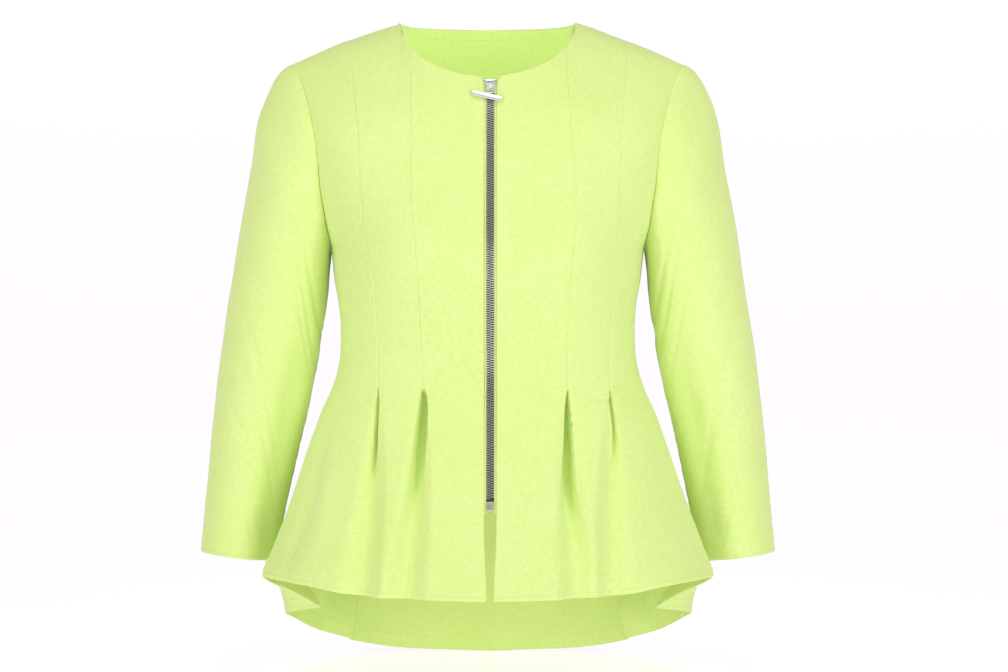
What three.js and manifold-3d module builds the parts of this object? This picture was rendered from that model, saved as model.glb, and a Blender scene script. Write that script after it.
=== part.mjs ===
// A collarless zipped jacket with a flared peplum and bracelet sleeves, hollow and filled out as worn.
// Millimetres, +Z up, the front towards -Y, the wearer's left towards +X.
// The origin is midway between the two points where the shoulder seams meet the neckline.

import * as THREE from "three";
import { mergeVertices } from "three/addons/utils/BufferGeometryUtils.js";
import Module from "manifold-3d";

const wasm = await Module();
wasm.setup();

// Cloth
const WALL = 1.6;
const SEAM_GAP = 0.3;
const FOLD_CLEARANCE = 0.2;
const SHARP_FOLD = 0.5;
const FACING_WALL = 1.0;
const FACING_HALF_LENGTH = 82;

// Neck and shoulders
const NECK_HALF_WIDTH = 87;
const NECK_RISE = 35;
const FRONT_NECK_DROP = 59;
const BACK_NECK_DROP = 1;
const SHOULDER_HALF_WIDTH = 196;
const SHOULDER_SLOPE = 0.38;
const SHOULDER_CURVE = 1.8;
const SHOULDER_ROUNDING = 110;

// Bust shaping, a soft swell on each side of the front
const BUST = { depth: 8, offset: 86, height: -230, width: 48, length: 55 };

// Where the pleats open and where the side seams start
const PLEAT_TOP = -366;
const UNDERARM = -228;

// The torso's plan at each height is a superellipse, with its own depth in front and behind.
const TORSO = table(
  ["height", "halfWidth", "frontDepth", "backDepth", "squareness"],
  [
    [-660, 219, 190, 190, 2.3],
    [-600, 217, 178, 173, 2.3],
    [-575, 221, 171, 166, 2.3],
    [-549, 231, 163, 158, 2.3],
    [-520, 219, 153, 148, 2.32],
    [-487, 205, 142, 135, 2.34],
    [-437, 186, 126.5, 115, 2.38],
    [-410, 175.5, 118, 104, 2.4],
    [-389, 167, 111.5, 95.5, 2.42],
    [-366, 156, 104.5, 84, 2.45],
    [-350, 151, 103, 80.5, 2.46],
    [-330, 147.5, 105.5, 81.5, 2.48],
    [-305, 147, 113, 85, 2.5],
    [-281, 149, 121.5, 90, 2.5],
    [-257, 153, 128.5, 96, 2.5],
    [-228, 156, 130, 103, 2.5],
    [-200, 168, 125.5, 108, 2.5],
    [-170, 178, 118, 111, 2.5],
    [-140, 184, 110.5, 112, 2.5],
    [-100, 194, 98, 108, 2.5],
    [-60, 201.5, 83, 97, 2.5],
    [0, 210, 68, 84, 2.5],
    [40, 214, 58, 70, 2.5],
  ],
);

// How far each front princess seam lies from the middle, by height; minus is the wearer's right.
const FRONT_SEAMS = table(
  ["height", "rightSide", "rightMiddle", "leftMiddle", "leftSide"],
  [
    [-600, -128, -83, 90, 122],
    [-565, -124, -80, 88, 121],
    [-500, -116, -72.5, 83.5, 120],
    [-440, -110.5, -67.5, 80, 119.5],
    [-366, -107, -63.5, 78, 120],
    [-320, -107.4, -64.6, 78.2, 120.5],
    [-260, -111, -67, 81, 123.5],
    [-216, -120, -71, 85.5, 126.5],
    [-175, -123.5, -74, 86.4, 129],
    [-117, -126.5, -74.3, 82, 132],
    [-60, -133, -75.5, 78.5, 136],
    [-20, -136.8, -76.3, 77.4, 141],
    [0, -139.5, -77, 77, 142.5],
  ],
);
const BACK_SEAM = table(
  ["height", "fromMiddle"],
  [
    [-650, 161],
    [-550, 140],
    [-450, 115],
    [-366, 93],
    [-300, 92],
    [-200, 105],
    [-100, 115],
    [0, 120],
  ],
);

// The armhole's edge on the torso, as the angle round the plan from the side.
const ARMHOLE = table(
  ["height", "angle"],
  [
    [-49, 22.7],
    [-62, 25.7],
    [-88, 29],
    [-113, 29.4],
    [-142, 27.4],
    [-167, 25.4],
    [-188, 22.8],
    [-204, 18.6],
    [-217, 12.6],
    [-225, 6.3],
    [UNDERARM, 0],
  ],
);
const BACK_ARMHOLE_SHARE = 0.95;

// The hem's height, by angle from the side: -90 is the middle front and 90 the middle back.
const HEM = table(
  ["angle", "height"],
  [
    [-90, -565],
    [-61.7, -562],
    [-44.7, -554],
    [-32.5, -551],
    [-17.8, -549],
    [-9, -562],
    [0, -584],
    [9, -590],
    [20.6, -598],
    [35, -614],
    [51, -630],
    [70, -641.5],
    [90, -645.5],
  ],
);

// An inverted pleat opens downwards from its seam; its fold lies on the seam. The sharp folds of the front
// turn into soft valleys further down, and those of the back stay sharp.
const PLEAT = table(
  ["drop", "frontDepth", "backDepth", "halfWidth", "frontSoftness"],
  [
    [0, 0, 0, 4.5, 0],
    [12, 4, 4, 5, 0],
    [30, 8.5, 8.5, 6.5, 0.1],
    [60, 12, 13, 10, 0.5],
    [100, 13.5, 17, 15, 0.9],
    [150, 14, 20, 20, 1],
    [200, 14, 22, 24, 1],
    [290, 14, 25, 28, 1],
  ],
);
const SIDE_PLEAT = table(
  ["drop", "depth", "halfWidth"],
  [
    [0, 0, 24],
    [20, 1, 27],
    [65, 7, 36],
    [115, 21, 48],
    [165, 36, 58],
    [218, 50, 67],
  ],
);

// Each sleeve section: its top and underarm ends, and its half depth and middle from front to back.
const SLEEVE = table(
  ["topX", "topZ", "underX", "underZ", "halfDepth", "middleY", "armholeShare"],
  [
    [196, -41.4, 156, -228, 58, 0, 1],
    [204, -46, 157, -233, 60.5, 0, 0.95],
    [213, -57, 157.4, -240, 61.5, 0, 0.86],
    [223.5, -79, 158.2, -251, 61.5, 0, 0.7],
    [232, -106, 159, -266, 61, 0, 0.5],
    [237.3, -144, 161.4, -287, 60, 1, 0.3],
    [245.4, -190, 165.4, -316, 58.5, 2, 0.13],
    [253.2, -240, 171, -348, 56.5, 4, 0.04],
    [261.7, -294, 178, -381, 54.5, 5, 0],
    [269.7, -350, 186, -416, 52, 6, 0],
    [276.2, -405, 194.5, -453, 49.5, 7, 0],
    [282.5, -468, 203.5, -496, 47, 8, 0],
    [288, -528, 212, -538, 45, 8, 0],
  ],
);

// The zip, its middle line a little to the wearer's left
const ZIP_MIDDLE = 2.7;
const ZIP_OPENING = table(
  ["height", "halfGap"],
  [
    [-600, 3.4],
    [-565, 3.5],
    [-490, 6],
    [-481, 6],
    [-300, 6],
    [-80, 6],
    [-67, 6.4],
    [-59, 9.5],
    [-40, 10],
  ],
);
const CHAIN = { halfWidth: 2.9, wall: 2.4, depth: 1.3, top: -72, bottom: -476 };
const TAPE = { reach: 8.5, wall: 1.0, top: -61.5, bottom: -486 };
const BOX = { width: 8.4, height: 7.4, thickness: 2.9 };
const SLIDER = {
  height: -69,
  length: 12.6,
  topWidth: 11,
  bottomWidth: 7,
  plate: 1.3,
  frontFace: 1.2,
  backFace: -5.6,
  postWidth: 3,
  postLength: 3,
};
const BAIL = { width: 2.2, length: 6.4, rise: 3.1, bar: 1.0, drop: 1.4 };
const PULL = {
  pinRadius: 0.6,
  halfPin: 2.1,
  armWidth: 1.2,
  armLength: 8,
  barLength: 31,
  barHeight: 5.4,
  barThickness: 2.6,
  barMiddle: 10.4,
  barTilt: -13,
  barShift: 2,
  barRise: 1.9,
};

// Rows and columns of the cloth's grids
const UNDERARM_ROW = ARMHOLE.height.length;
const WAIST_ROW = UNDERARM_ROW + 4;
const HEM_ROW = WAIST_ROW + 8;
const FOLD_COLUMNS = 2;
const SIDE_FOLD_COLUMNS = 4;
const NECK_COLUMNS = { beside: 2, across: 10 };
const RING_SAMPLES = 60;

const CLOTH = { color: 0xdcf58f, roughness: 0.85, metalness: 0 };
const SLEEVE_CLOTH = { color: 0xd6ee8a, roughness: 0.85, metalness: 0 };
const INNER_CLOTH = { color: 0xd8ee84, roughness: 0.9, metalness: 0 };
const TAPE_CLOTH = { color: 0xc4dc6e, roughness: 0.8, metalness: 0 };
const DARK_METAL = { color: 0x77715f, roughness: 0.35, metalness: 1 };
const BRIGHT_METAL = { color: 0xd8d8d4, roughness: 0.2, metalness: 1 };

const DEGREE = Math.PI / 180;

// Tables and small sums

function table(columns, rows) {
  return Object.fromEntries(columns.map((name, k) => [name, rows.map((row) => row[k])]));
}

function mix(a, b, share) {
  return a + (b - a) * share;
}

function clamp(value, low, high) {
  return Math.min(high, Math.max(low, value));
}

function soften(share) {
  const s = clamp(share, 0, 1);
  return s * s * (3 - 2 * s);
}

// A smooth curve through a table's rows that never overshoots them.
function smoothAt(xs, ys, x) {
  const last = xs.length - 1;
  const rising = xs[last] > xs[0];
  if (rising ? x <= xs[0] : x >= xs[0]) return ys[0];
  if (rising ? x >= xs[last] : x <= xs[last]) return ys[last];
  let k = 0;
  while (rising ? xs[k + 1] < x : xs[k + 1] > x) k += 1;
  const secant = (i) => (ys[i + 1] - ys[i]) / (xs[i + 1] - xs[i]);
  const slope = (i) => {
    if (i === 0) return secant(0);
    if (i === last) return secant(last - 1);
    const before = secant(i - 1);
    const after = secant(i);
    return before * after <= 0 ? 0 : (2 * before * after) / (before + after);
  };
  const step = xs[k + 1] - xs[k];
  const t = (x - xs[k]) / step;
  const t2 = t * t;
  const t3 = t2 * t;
  const own = (2 * t3 - 3 * t2 + 1) * ys[k] + (3 * t2 - 2 * t3) * ys[k + 1];
  return own + (t3 - 2 * t2 + t) * step * slope(k) + (t3 - t2) * step * slope(k + 1);
}

// The torso's surface

function ridge(x) {
  const out = Math.abs(x);
  if (out < NECK_HALF_WIDTH) return NECK_RISE * (1 - (out / NECK_HALF_WIDTH) ** 2);
  const share = clamp((out - NECK_HALF_WIDTH) / (SHOULDER_HALF_WIDTH - NECK_HALF_WIDTH), 0, 1);
  return SHOULDER_CURVE * Math.sin(Math.PI * share) - SHOULDER_SLOPE * (out - NECK_HALF_WIDTH);
}

function planAt(height) {
  return {
    halfWidth: smoothAt(TORSO.height, TORSO.halfWidth, height),
    front: smoothAt(TORSO.height, TORSO.frontDepth, height),
    back: smoothAt(TORSO.height, TORSO.backDepth, height),
    power: smoothAt(TORSO.height, TORSO.squareness, height),
  };
}

// The angle, in degrees, of the point at x on the front or back of the plan: -90 front, 0 and 180 sides.
function angleAt(x, height, isBack) {
  const plan = planAt(height);
  const share = clamp(Math.abs(x) / plan.halfWidth, 0, 1) ** (plan.power / 2);
  const angle = Math.acos(Math.sign(x) * share) / DEGREE;
  return isBack ? angle : -angle;
}

function ringPoint(angle, height) {
  const plan = planAt(height);
  const c = Math.cos(angle * DEGREE);
  const s = Math.sin(angle * DEGREE);
  const x = plan.halfWidth * Math.sign(c) * Math.abs(c) ** (2 / plan.power);
  const depth = s < 0 ? plan.front : plan.back;
  let y = depth * Math.sign(s) * Math.abs(s) ** (2 / plan.power);
  const below = clamp((ridge(x) - height) / SHOULDER_ROUNDING, 0, 1);
  y *= Math.sqrt(1 - (1 - below) ** 2);
  if (s < 0) {
    const across = (Math.abs(x) - BUST.offset) / BUST.width;
    const along = (height - BUST.height) / BUST.length;
    y -= BUST.depth * s * s * Math.exp(-across * across - along * along);
  }
  return new THREE.Vector3(x, y, height);
}

function inwardInPlan(point, angle) {
  const plan = planAt(point.z);
  const depth = Math.sin(angle * DEGREE) < 0 ? plan.front : plan.back;
  const nx = (Math.sign(point.x) * (Math.abs(point.x) / plan.halfWidth) ** (plan.power - 1)) / plan.halfWidth;
  const ny = (Math.sign(point.y) * (Math.abs(point.y) / depth) ** (plan.power - 1)) / depth;
  const length = Math.hypot(nx, ny) || 1;
  return new THREE.Vector3(-nx / length, -ny / length, 0);
}

// How far a pleat draws the cloth in, at a distance from its seam.
function drawnIn(profile, depths, softness, drop, distance) {
  if (drop <= 0) return 0;
  const halfWidth = smoothAt(profile.drop, profile.halfWidth, drop);
  const share = clamp(1 - distance / halfWidth, 0, 1);
  return smoothAt(profile.drop, depths, drop) * mix(share ** 1.2, soften(share), softness);
}

function seamXs(height, isBack) {
  if (isBack) {
    const out = smoothAt(BACK_SEAM.height, BACK_SEAM.fromMiddle, height);
    return [-out, out];
  }
  return ["rightSide", "rightMiddle", "leftMiddle", "leftSide"].map((name) =>
    smoothAt(FRONT_SEAMS.height, FRONT_SEAMS[name], height),
  );
}

function torsoPoint(angle, height) {
  const base = ringPoint(angle, height);
  const drop = PLEAT_TOP - height;
  if (drop <= 0) return base;
  const isBack = angle > 0;
  const side = ringPoint(base.x < 0 ? 180 : 0, height);
  let inward = drawnIn(SIDE_PLEAT, SIDE_PLEAT.depth, 1, drop, base.distanceTo(side));
  const depths = isBack ? PLEAT.backDepth : PLEAT.frontDepth;
  const softness = isBack ? 0 : smoothAt(PLEAT.drop, PLEAT.frontSoftness, drop);
  for (const x of seamXs(height, isBack)) {
    const seam = ringPoint(angleAt(x, height, isBack), height);
    inward += drawnIn(PLEAT, depths, softness, drop, base.distanceTo(seam));
  }
  return base.addScaledVector(inwardInPlan(base, angle), inward);
}

// Edges of the pieces

function neckHeight(x, isBack) {
  const share = Math.sqrt(Math.max(0, 1 - (x / NECK_HALF_WIDTH) ** 2));
  return isBack ? -BACK_NECK_DROP * share : -FRONT_NECK_DROP * share;
}

function topHeight(x, isBack) {
  return Math.abs(x) < NECK_HALF_WIDTH ? neckHeight(x, isBack) : ridge(x);
}

function hemHeight(angle) {
  let turn = angle;
  if (angle > 90) turn = 180 - angle;
  if (angle < -90) turn = -180 - angle;
  return smoothAt(HEM.angle, HEM.height, turn);
}

// The share of the way from the top edge to the underarm at each row, as on the armhole.
const ARMHOLE_TOP = ridge(SHOULDER_HALF_WIDTH);
const ROW_SHARES = [0, ...ARMHOLE.height.map((z) => (z - ARMHOLE_TOP) / (UNDERARM - ARMHOLE_TOP))];

function rowHeight(row, top, hem) {
  if (row <= UNDERARM_ROW) return mix(top, UNDERARM, ROW_SHARES[row]);
  if (row <= WAIST_ROW) {
    return mix(UNDERARM, PLEAT_TOP, (row - UNDERARM_ROW) / (WAIST_ROW - UNDERARM_ROW));
  }
  const share = (row - WAIST_ROW) / (HEM_ROW - WAIST_ROW);
  return mix(PLEAT_TOP, hem, share ** 1.15);
}

// A seam from the top edge to the hem, as an angle and a height for each row.
function seamLine(xAt, isBack) {
  let top = -20;
  let hem = -600;
  for (let pass = 0; pass < 30; pass += 1) {
    top = topHeight(xAt(top), isBack);
    hem = hemHeight(angleAt(xAt(hem), hem, isBack));
  }
  return Array.from({ length: HEM_ROW + 1 }, (_, row) => {
    const height = rowHeight(row, top, hem);
    return { angle: angleAt(xAt(height), height, isBack), height };
  });
}

// The armhole's edge and then the side seam, on the wearer's left (side 1) or right (side -1).
function sideLine(side, isBack) {
  const shoulder = Math.abs(angleAt(SHOULDER_HALF_WIDTH, ARMHOLE_TOP, false));
  const angles = [shoulder, ...ARMHOLE.angle];
  const place = (angle) => (side > 0 ? angle : 180 - angle) * (isBack ? 1 : -1);
  return Array.from({ length: HEM_ROW + 1 }, (_, row) => {
    if (row <= UNDERARM_ROW) {
      const share = isBack && row > 0 ? BACK_ARMHOLE_SHARE : 1;
      const height = row === 0 ? ARMHOLE_TOP : ARMHOLE.height[row - 1];
      return { angle: place(angles[row] * share), height };
    }
    return { angle: place(0), height: rowHeight(row, ARMHOLE_TOP, hemHeight(0)) };
  });
}

// Grids of points, columns from the wearer's right to left in front and left to right behind

// Where the columns lie across a row that is width long, closer together in the folds.
function columnShares(columns, width, fold) {
  const left = fold.leftColumns;
  const right = fold.rightColumns;
  const middle = columns - left - right;
  return Array.from({ length: columns + 1 }, (_, i) => {
    if (i < left) return ((i / left) * fold.leftWidth) / width;
    if (i > columns - right) return 1 - (((columns - i) / right) * fold.rightWidth) / width;
    const share = (i - left) / middle;
    return mix(fold.leftWidth, width - fold.rightWidth, share) / width;
  });
}

function foldWidth(kind, height, width) {
  const profile = kind === "side" ? SIDE_PLEAT : PLEAT;
  const drop = Math.max(0, PLEAT_TOP - height);
  return kind ? Math.min(smoothAt(profile.drop, profile.halfWidth, drop), width * 0.45) : 0;
}

function foldColumns(kind) {
  if (!kind) return 0;
  return kind === "side" ? SIDE_FOLD_COLUMNS : FOLD_COLUMNS;
}

function torsoGrid({ left, right, isBack, columns, leftFold, rightFold, topXs }) {
  const topPoints = topXs.map((x) => {
    const height = topHeight(x, isBack);
    return { angle: angleAt(x, height, isBack), height };
  });
  const grid = [];
  for (let row = 0; row <= HEM_ROW; row += 1) {
    const a = left[row];
    const b = right[row];
    const along = [0];
    for (let k = 1; k <= RING_SAMPLES; k += 1) {
      const before = (k - 1) / RING_SAMPLES;
      const after = k / RING_SAMPLES;
      const p = ringPoint(mix(a.angle, b.angle, before), mix(a.height, b.height, before));
      const q = ringPoint(mix(a.angle, b.angle, after), mix(a.height, b.height, after));
      along.push(along[k - 1] + p.distanceTo(q));
    }
    const width = along[RING_SAMPLES];
    const shares = columnShares(columns, width, {
      leftColumns: foldColumns(leftFold),
      rightColumns: foldColumns(rightFold),
      leftWidth: foldWidth(leftFold, a.height, width),
      rightWidth: foldWidth(rightFold, b.height, width),
    });
    const settle = soften(row / (UNDERARM_ROW - 1));
    const points = shares.map((share, i) => {
      const spaced = sampleShare(along, share * width);
      const top = topPoints[i];
      const topShare = (top.angle - left[0].angle) / (right[0].angle - left[0].angle);
      const across = mix(topShare, spaced, settle);
      const angle = mix(a.angle, b.angle, across);
      let height = mix(a.height, b.height, across);
      if (row < UNDERARM_ROW) {
        const straight = mix(left[0].height, right[0].height, topShare);
        height += (top.height - straight) * (1 - ROW_SHARES[row]);
      }
      if (row > WAIST_ROW) {
        const lower = (row - WAIST_ROW) / (HEM_ROW - WAIST_ROW);
        const hemAngle = mix(left[HEM_ROW].angle, right[HEM_ROW].angle, across);
        const straight = mix(left[HEM_ROW].height, right[HEM_ROW].height, across);
        height += (hemHeight(hemAngle) - straight) * lower ** 1.15;
      }
      return torsoPoint(angle, height);
    });
    grid.push(points);
  }
  return grid;
}

// The share of the samples at which a length along them is reached.
function sampleShare(along, length) {
  let k = 0;
  while (k < along.length - 2 && along[k + 1] < length) k += 1;
  const inside = (length - along[k]) / (along[k + 1] - along[k]);
  return (k + clamp(inside, 0, 1)) / (along.length - 1);
}

// Places along a top edge, with a column at each given stop.
function stops(...parts) {
  const out = [parts[0]];
  for (let k = 1; k < parts.length; k += 2) {
    const from = out[out.length - 1];
    const count = parts[k];
    const to = parts[k + 1];
    for (let i = 1; i <= count; i += 1) out.push(mix(from, to, i / count));
  }
  return out;
}

function ringXAt(point) {
  return ringPoint(point.angle, point.height).x;
}

function torsoPieces() {
  const frontSeam = (name) =>
    seamLine((z) => smoothAt(FRONT_SEAMS.height, FRONT_SEAMS[name], z), false);
  const backSeam = (side) =>
    seamLine((z) => side * smoothAt(BACK_SEAM.height, BACK_SEAM.fromMiddle, z), true);
  const zipEdge = (side) =>
    seamLine((z) => ZIP_MIDDLE + side * smoothAt(ZIP_OPENING.height, ZIP_OPENING.halfGap, z), false);
  const lines = {
    rightArm: sideLine(-1, false),
    rightSide: frontSeam("rightSide"),
    rightMiddle: frontSeam("rightMiddle"),
    rightZip: zipEdge(-1),
    leftZip: zipEdge(1),
    leftMiddle: frontSeam("leftMiddle"),
    leftSide: frontSeam("leftSide"),
    leftArm: sideLine(1, false),
    leftArmBack: sideLine(1, true),
    backLeft: backSeam(1),
    backRight: backSeam(-1),
    rightArmBack: sideLine(-1, true),
  };
  const x = Object.fromEntries(Object.entries(lines).map(([name, line]) => [name, ringXAt(line[0])]));
  const neck = NECK_HALF_WIDTH;
  const rows = [
    ["front_side_R", "rightArm", "rightSide", "side", "pleat", stops(x.rightArm, 9, x.rightSide)],
    ["front_middle_R", "rightSide", "rightMiddle", "pleat", "pleat",
      stops(x.rightSide, 5, -neck, 3, x.rightMiddle)],
    ["front_centre_R", "rightMiddle", "rightZip", "pleat", "", stops(x.rightMiddle, 7, x.rightZip)],
    ["front_centre_L", "leftZip", "leftMiddle", "", "pleat", stops(x.leftZip, 7, x.leftMiddle)],
    ["front_middle_L", "leftMiddle", "leftSide", "pleat", "pleat",
      stops(x.leftMiddle, 3, neck, 5, x.leftSide)],
    ["front_side_L", "leftSide", "leftArm", "pleat", "side", stops(x.leftSide, 9, x.leftArm)],
    ["back_side_L", "leftArmBack", "backLeft", "side", "pleat", stops(x.leftArmBack, 9, x.backLeft)],
    ["back_centre", "backLeft", "backRight", "pleat", "pleat",
      stops(x.backLeft, NECK_COLUMNS.beside, neck, 1, FACING_HALF_LENGTH, NECK_COLUMNS.across,
        -FACING_HALF_LENGTH, 1, -neck, NECK_COLUMNS.beside, x.backRight)],
    ["back_side_R", "backRight", "rightArmBack", "pleat", "side",
      stops(x.backRight, 9, x.rightArmBack)],
  ];
  return rows.map(([name, left, right, leftFold, rightFold, topXs]) => ({
    name,
    group: "torso",
    look: CLOTH,
    wall: WALL,
    grid: torsoGrid({
      left: lines[left],
      right: lines[right],
      isBack: name.startsWith("back"),
      columns: topXs.length - 1,
      leftFold,
      rightFold,
      topXs,
    }),
  }));
}

// The sleeve's columns run from the underarm up its front, over the shoulder and down its back.
function sleeveGrid(side) {
  const front = sideLine(1, false).slice(0, UNDERARM_ROW + 1);
  const back = sideLine(1, true).slice(1, UNDERARM_ROW + 1);
  const loop = [...front.reverse(), ...back].map((p) => torsoPoint(p.angle, p.height));
  const along = loop.map((_, i) => (i ? loop[i].distanceTo(loop[i - 1]) : 0));
  const half = (from, to) => along.slice(from + 1, to + 1).reduce((sum, length) => sum + length, 0);
  const shoulder = UNDERARM_ROW;
  const last = loop.length - 1;
  const turns = loop.map((_, i) => {
    if (i <= shoulder) return 180 * (1 - half(0, i) / half(0, shoulder));
    return (-180 * half(shoulder, i)) / half(shoulder, last);
  });
  const section = (k, turn) => {
    const reach = Math.cos(turn * DEGREE) / 2;
    const x = (SLEEVE.topX[k] + SLEEVE.underX[k]) / 2 + (SLEEVE.topX[k] - SLEEVE.underX[k]) * reach;
    const z = (SLEEVE.topZ[k] + SLEEVE.underZ[k]) / 2 + (SLEEVE.topZ[k] - SLEEVE.underZ[k]) * reach;
    const y = SLEEVE.middleY[k] - SLEEVE.halfDepth[k] * Math.sin(turn * DEGREE);
    return new THREE.Vector3(x, y, z);
  };
  const grid = SLEEVE.topX.map((_, k) =>
    turns.map((turn, i) => {
      const fromArmhole = loop[i].clone().sub(section(0, turn));
      return section(k, turn).addScaledVector(fromArmhole, SLEEVE.armholeShare[k]);
    }),
  );
  if (side > 0) return grid;
  return grid.map((row) => row.map((p) => new THREE.Vector3(-p.x, p.y, p.z)).reverse());
}

// Points on the front's smooth surface, moved in by depth.
function frontPoint(x, height, depth) {
  const step = 0.5;
  const at = (px, pz) => ringPoint(angleAt(px, pz, false), pz);
  const across = at(x + step, height).sub(at(x - step, height));
  const down = at(x, height - step).sub(at(x, height + step));
  const inward = across.cross(down).normalize();
  if (inward.y < 0) inward.negate();
  return at(x, height).addScaledVector(inward, depth);
}

// The rows of a list between two heights, with new rows where the heights fall between rows.
function cutRows(rows, top, bottom) {
  const between = (a, b, height) => {
    const share = (height - a[0].z) / (b[0].z - a[0].z);
    return a.map((v, k) => v.clone().lerp(b[k], share));
  };
  const out = [];
  rows.forEach((row, j) => {
    const before = rows[j - 1];
    if (before && before[0].z > top && row[0].z < top) out.push(between(before, row, top));
    if (before && before[0].z > bottom && row[0].z < bottom) out.push(between(before, row, bottom));
    if (row[0].z <= top && row[0].z >= bottom) out.push(row);
  });
  return out.sort((a, b) => b[0].z - a[0].z);
}

// A zip tape: it starts at the teeth and reaches in behind the front's wall.
function tapeGrid(panel, side, outward) {
  const rows = panel.map((row) => {
    const edge = side > 0 ? row[0] : row[row.length - 1];
    const next = side > 0 ? row[1] : row[row.length - 2];
    return [edge, next, outward(edge), outward(next)];
  });
  return cutRows(rows, TAPE.top, TAPE.bottom).map(([edge, next, normal, nextNormal]) => {
    const away = next.clone().sub(edge);
    const width = away.length();
    away.normalize();
    const toTeeth = Math.abs(edge.x - ZIP_MIDDLE) - CHAIN.halfWidth - SEAM_GAP;
    const points = [-toTeeth, 0, TAPE.reach].map((reach) => {
      const lean = normal.clone().lerp(nextNormal, clamp(reach / width, 0, 1)).normalize();
      return edge.clone().addScaledVector(away, reach).addScaledVector(lean, -WALL - SEAM_GAP);
    });
    return side > 0 ? points : points.reverse();
  });
}

// The closed teeth as one strip between the two fronts
function chainGrid(rightPanel, leftPanel, outward) {
  const rows = leftPanel.map((row, j) => {
    const left = row[0];
    const right = rightPanel[j][rightPanel[j].length - 1];
    return [left, right, outward(left)];
  });
  return cutRows(rows, CHAIN.top, CHAIN.bottom).map(([left, right, normal]) => {
    const middle = left.clone().add(right).multiplyScalar(0.5).addScaledVector(normal, -CHAIN.depth);
    const across = left.clone().sub(right).normalize();
    return [-CHAIN.halfWidth, CHAIN.halfWidth].map((x) => middle.clone().addScaledVector(across, x));
  });
}

// The band that faces the inside of the back neck, from just inside one shoulder seam to the other
function facingGrid(panel, outward) {
  const first = NECK_COLUMNS.beside + 1;
  const last = first + NECK_COLUMNS.across;
  const inside = (p) => p.clone().addScaledVector(outward(p), -WALL - SEAM_GAP);
  return panel.slice(0, 2).map((row) => row.slice(first, last + 1).map(inside));
}

// Solids from grids

function keyOf(point) {
  return [point.x, point.y, point.z].map((v) => Math.round(v * 100)).join(",");
}

// The outward direction at each point of a group of pieces. Pieces of one group that meet at a point share
// it, and so do two groups that meet there without a sharp fold.
function outwardOf(pieces) {
  const sums = {};
  const add = (group, a, b, c) => {
    const face = b.clone().sub(a).cross(c.clone().sub(a));
    const size = face.length();
    if (size < 1e-6) return;
    for (const p of [a, b, c]) {
      const key = keyOf(p);
      if (!sums[group].has(key)) sums[group].set(key, new THREE.Vector3());
      sums[group].get(key).addScaledVector(face, 1 / size);
    }
  };
  for (const { grid, group } of pieces) {
    sums[group] ??= new Map();
    for (let j = 0; j + 1 < grid.length; j += 1) {
      for (let i = 0; i + 1 < grid[j].length; i += 1) {
        add(group, grid[j][i], grid[j + 1][i], grid[j + 1][i + 1]);
        add(group, grid[j][i], grid[j + 1][i + 1], grid[j][i + 1]);
      }
    }
  }
  return (point, group) => {
    if (isOnShoulderSeam(point)) {
      const up = new THREE.Vector3(SHOULDER_SLOPE * Math.sign(point.x), 0, 1);
      return { normal: up.normalize(), isSharp: false };
    }
    const key = keyOf(point);
    const own = sums[group].get(key).clone().normalize();
    const others = Object.entries(sums).filter(([name, map]) => name !== group && map.has(key));
    if (!others.length) return { normal: own, isSharp: false };
    const other = others[0][1].get(key).clone().normalize();
    const isSharp = own.dot(other) < SHARP_FOLD;
    return { normal: isSharp ? own : own.add(other).normalize(), isSharp };
  };
}

function isOnShoulderSeam(point) {
  const out = Math.abs(point.x);
  const isOnRidge = Math.abs(point.y) < 0.05 && Math.abs(point.z - ridge(out)) < 0.01;
  return isOnRidge && out > NECK_HALF_WIDTH - 0.01 && out < SHOULDER_HALF_WIDTH + 0.01;
}

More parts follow.
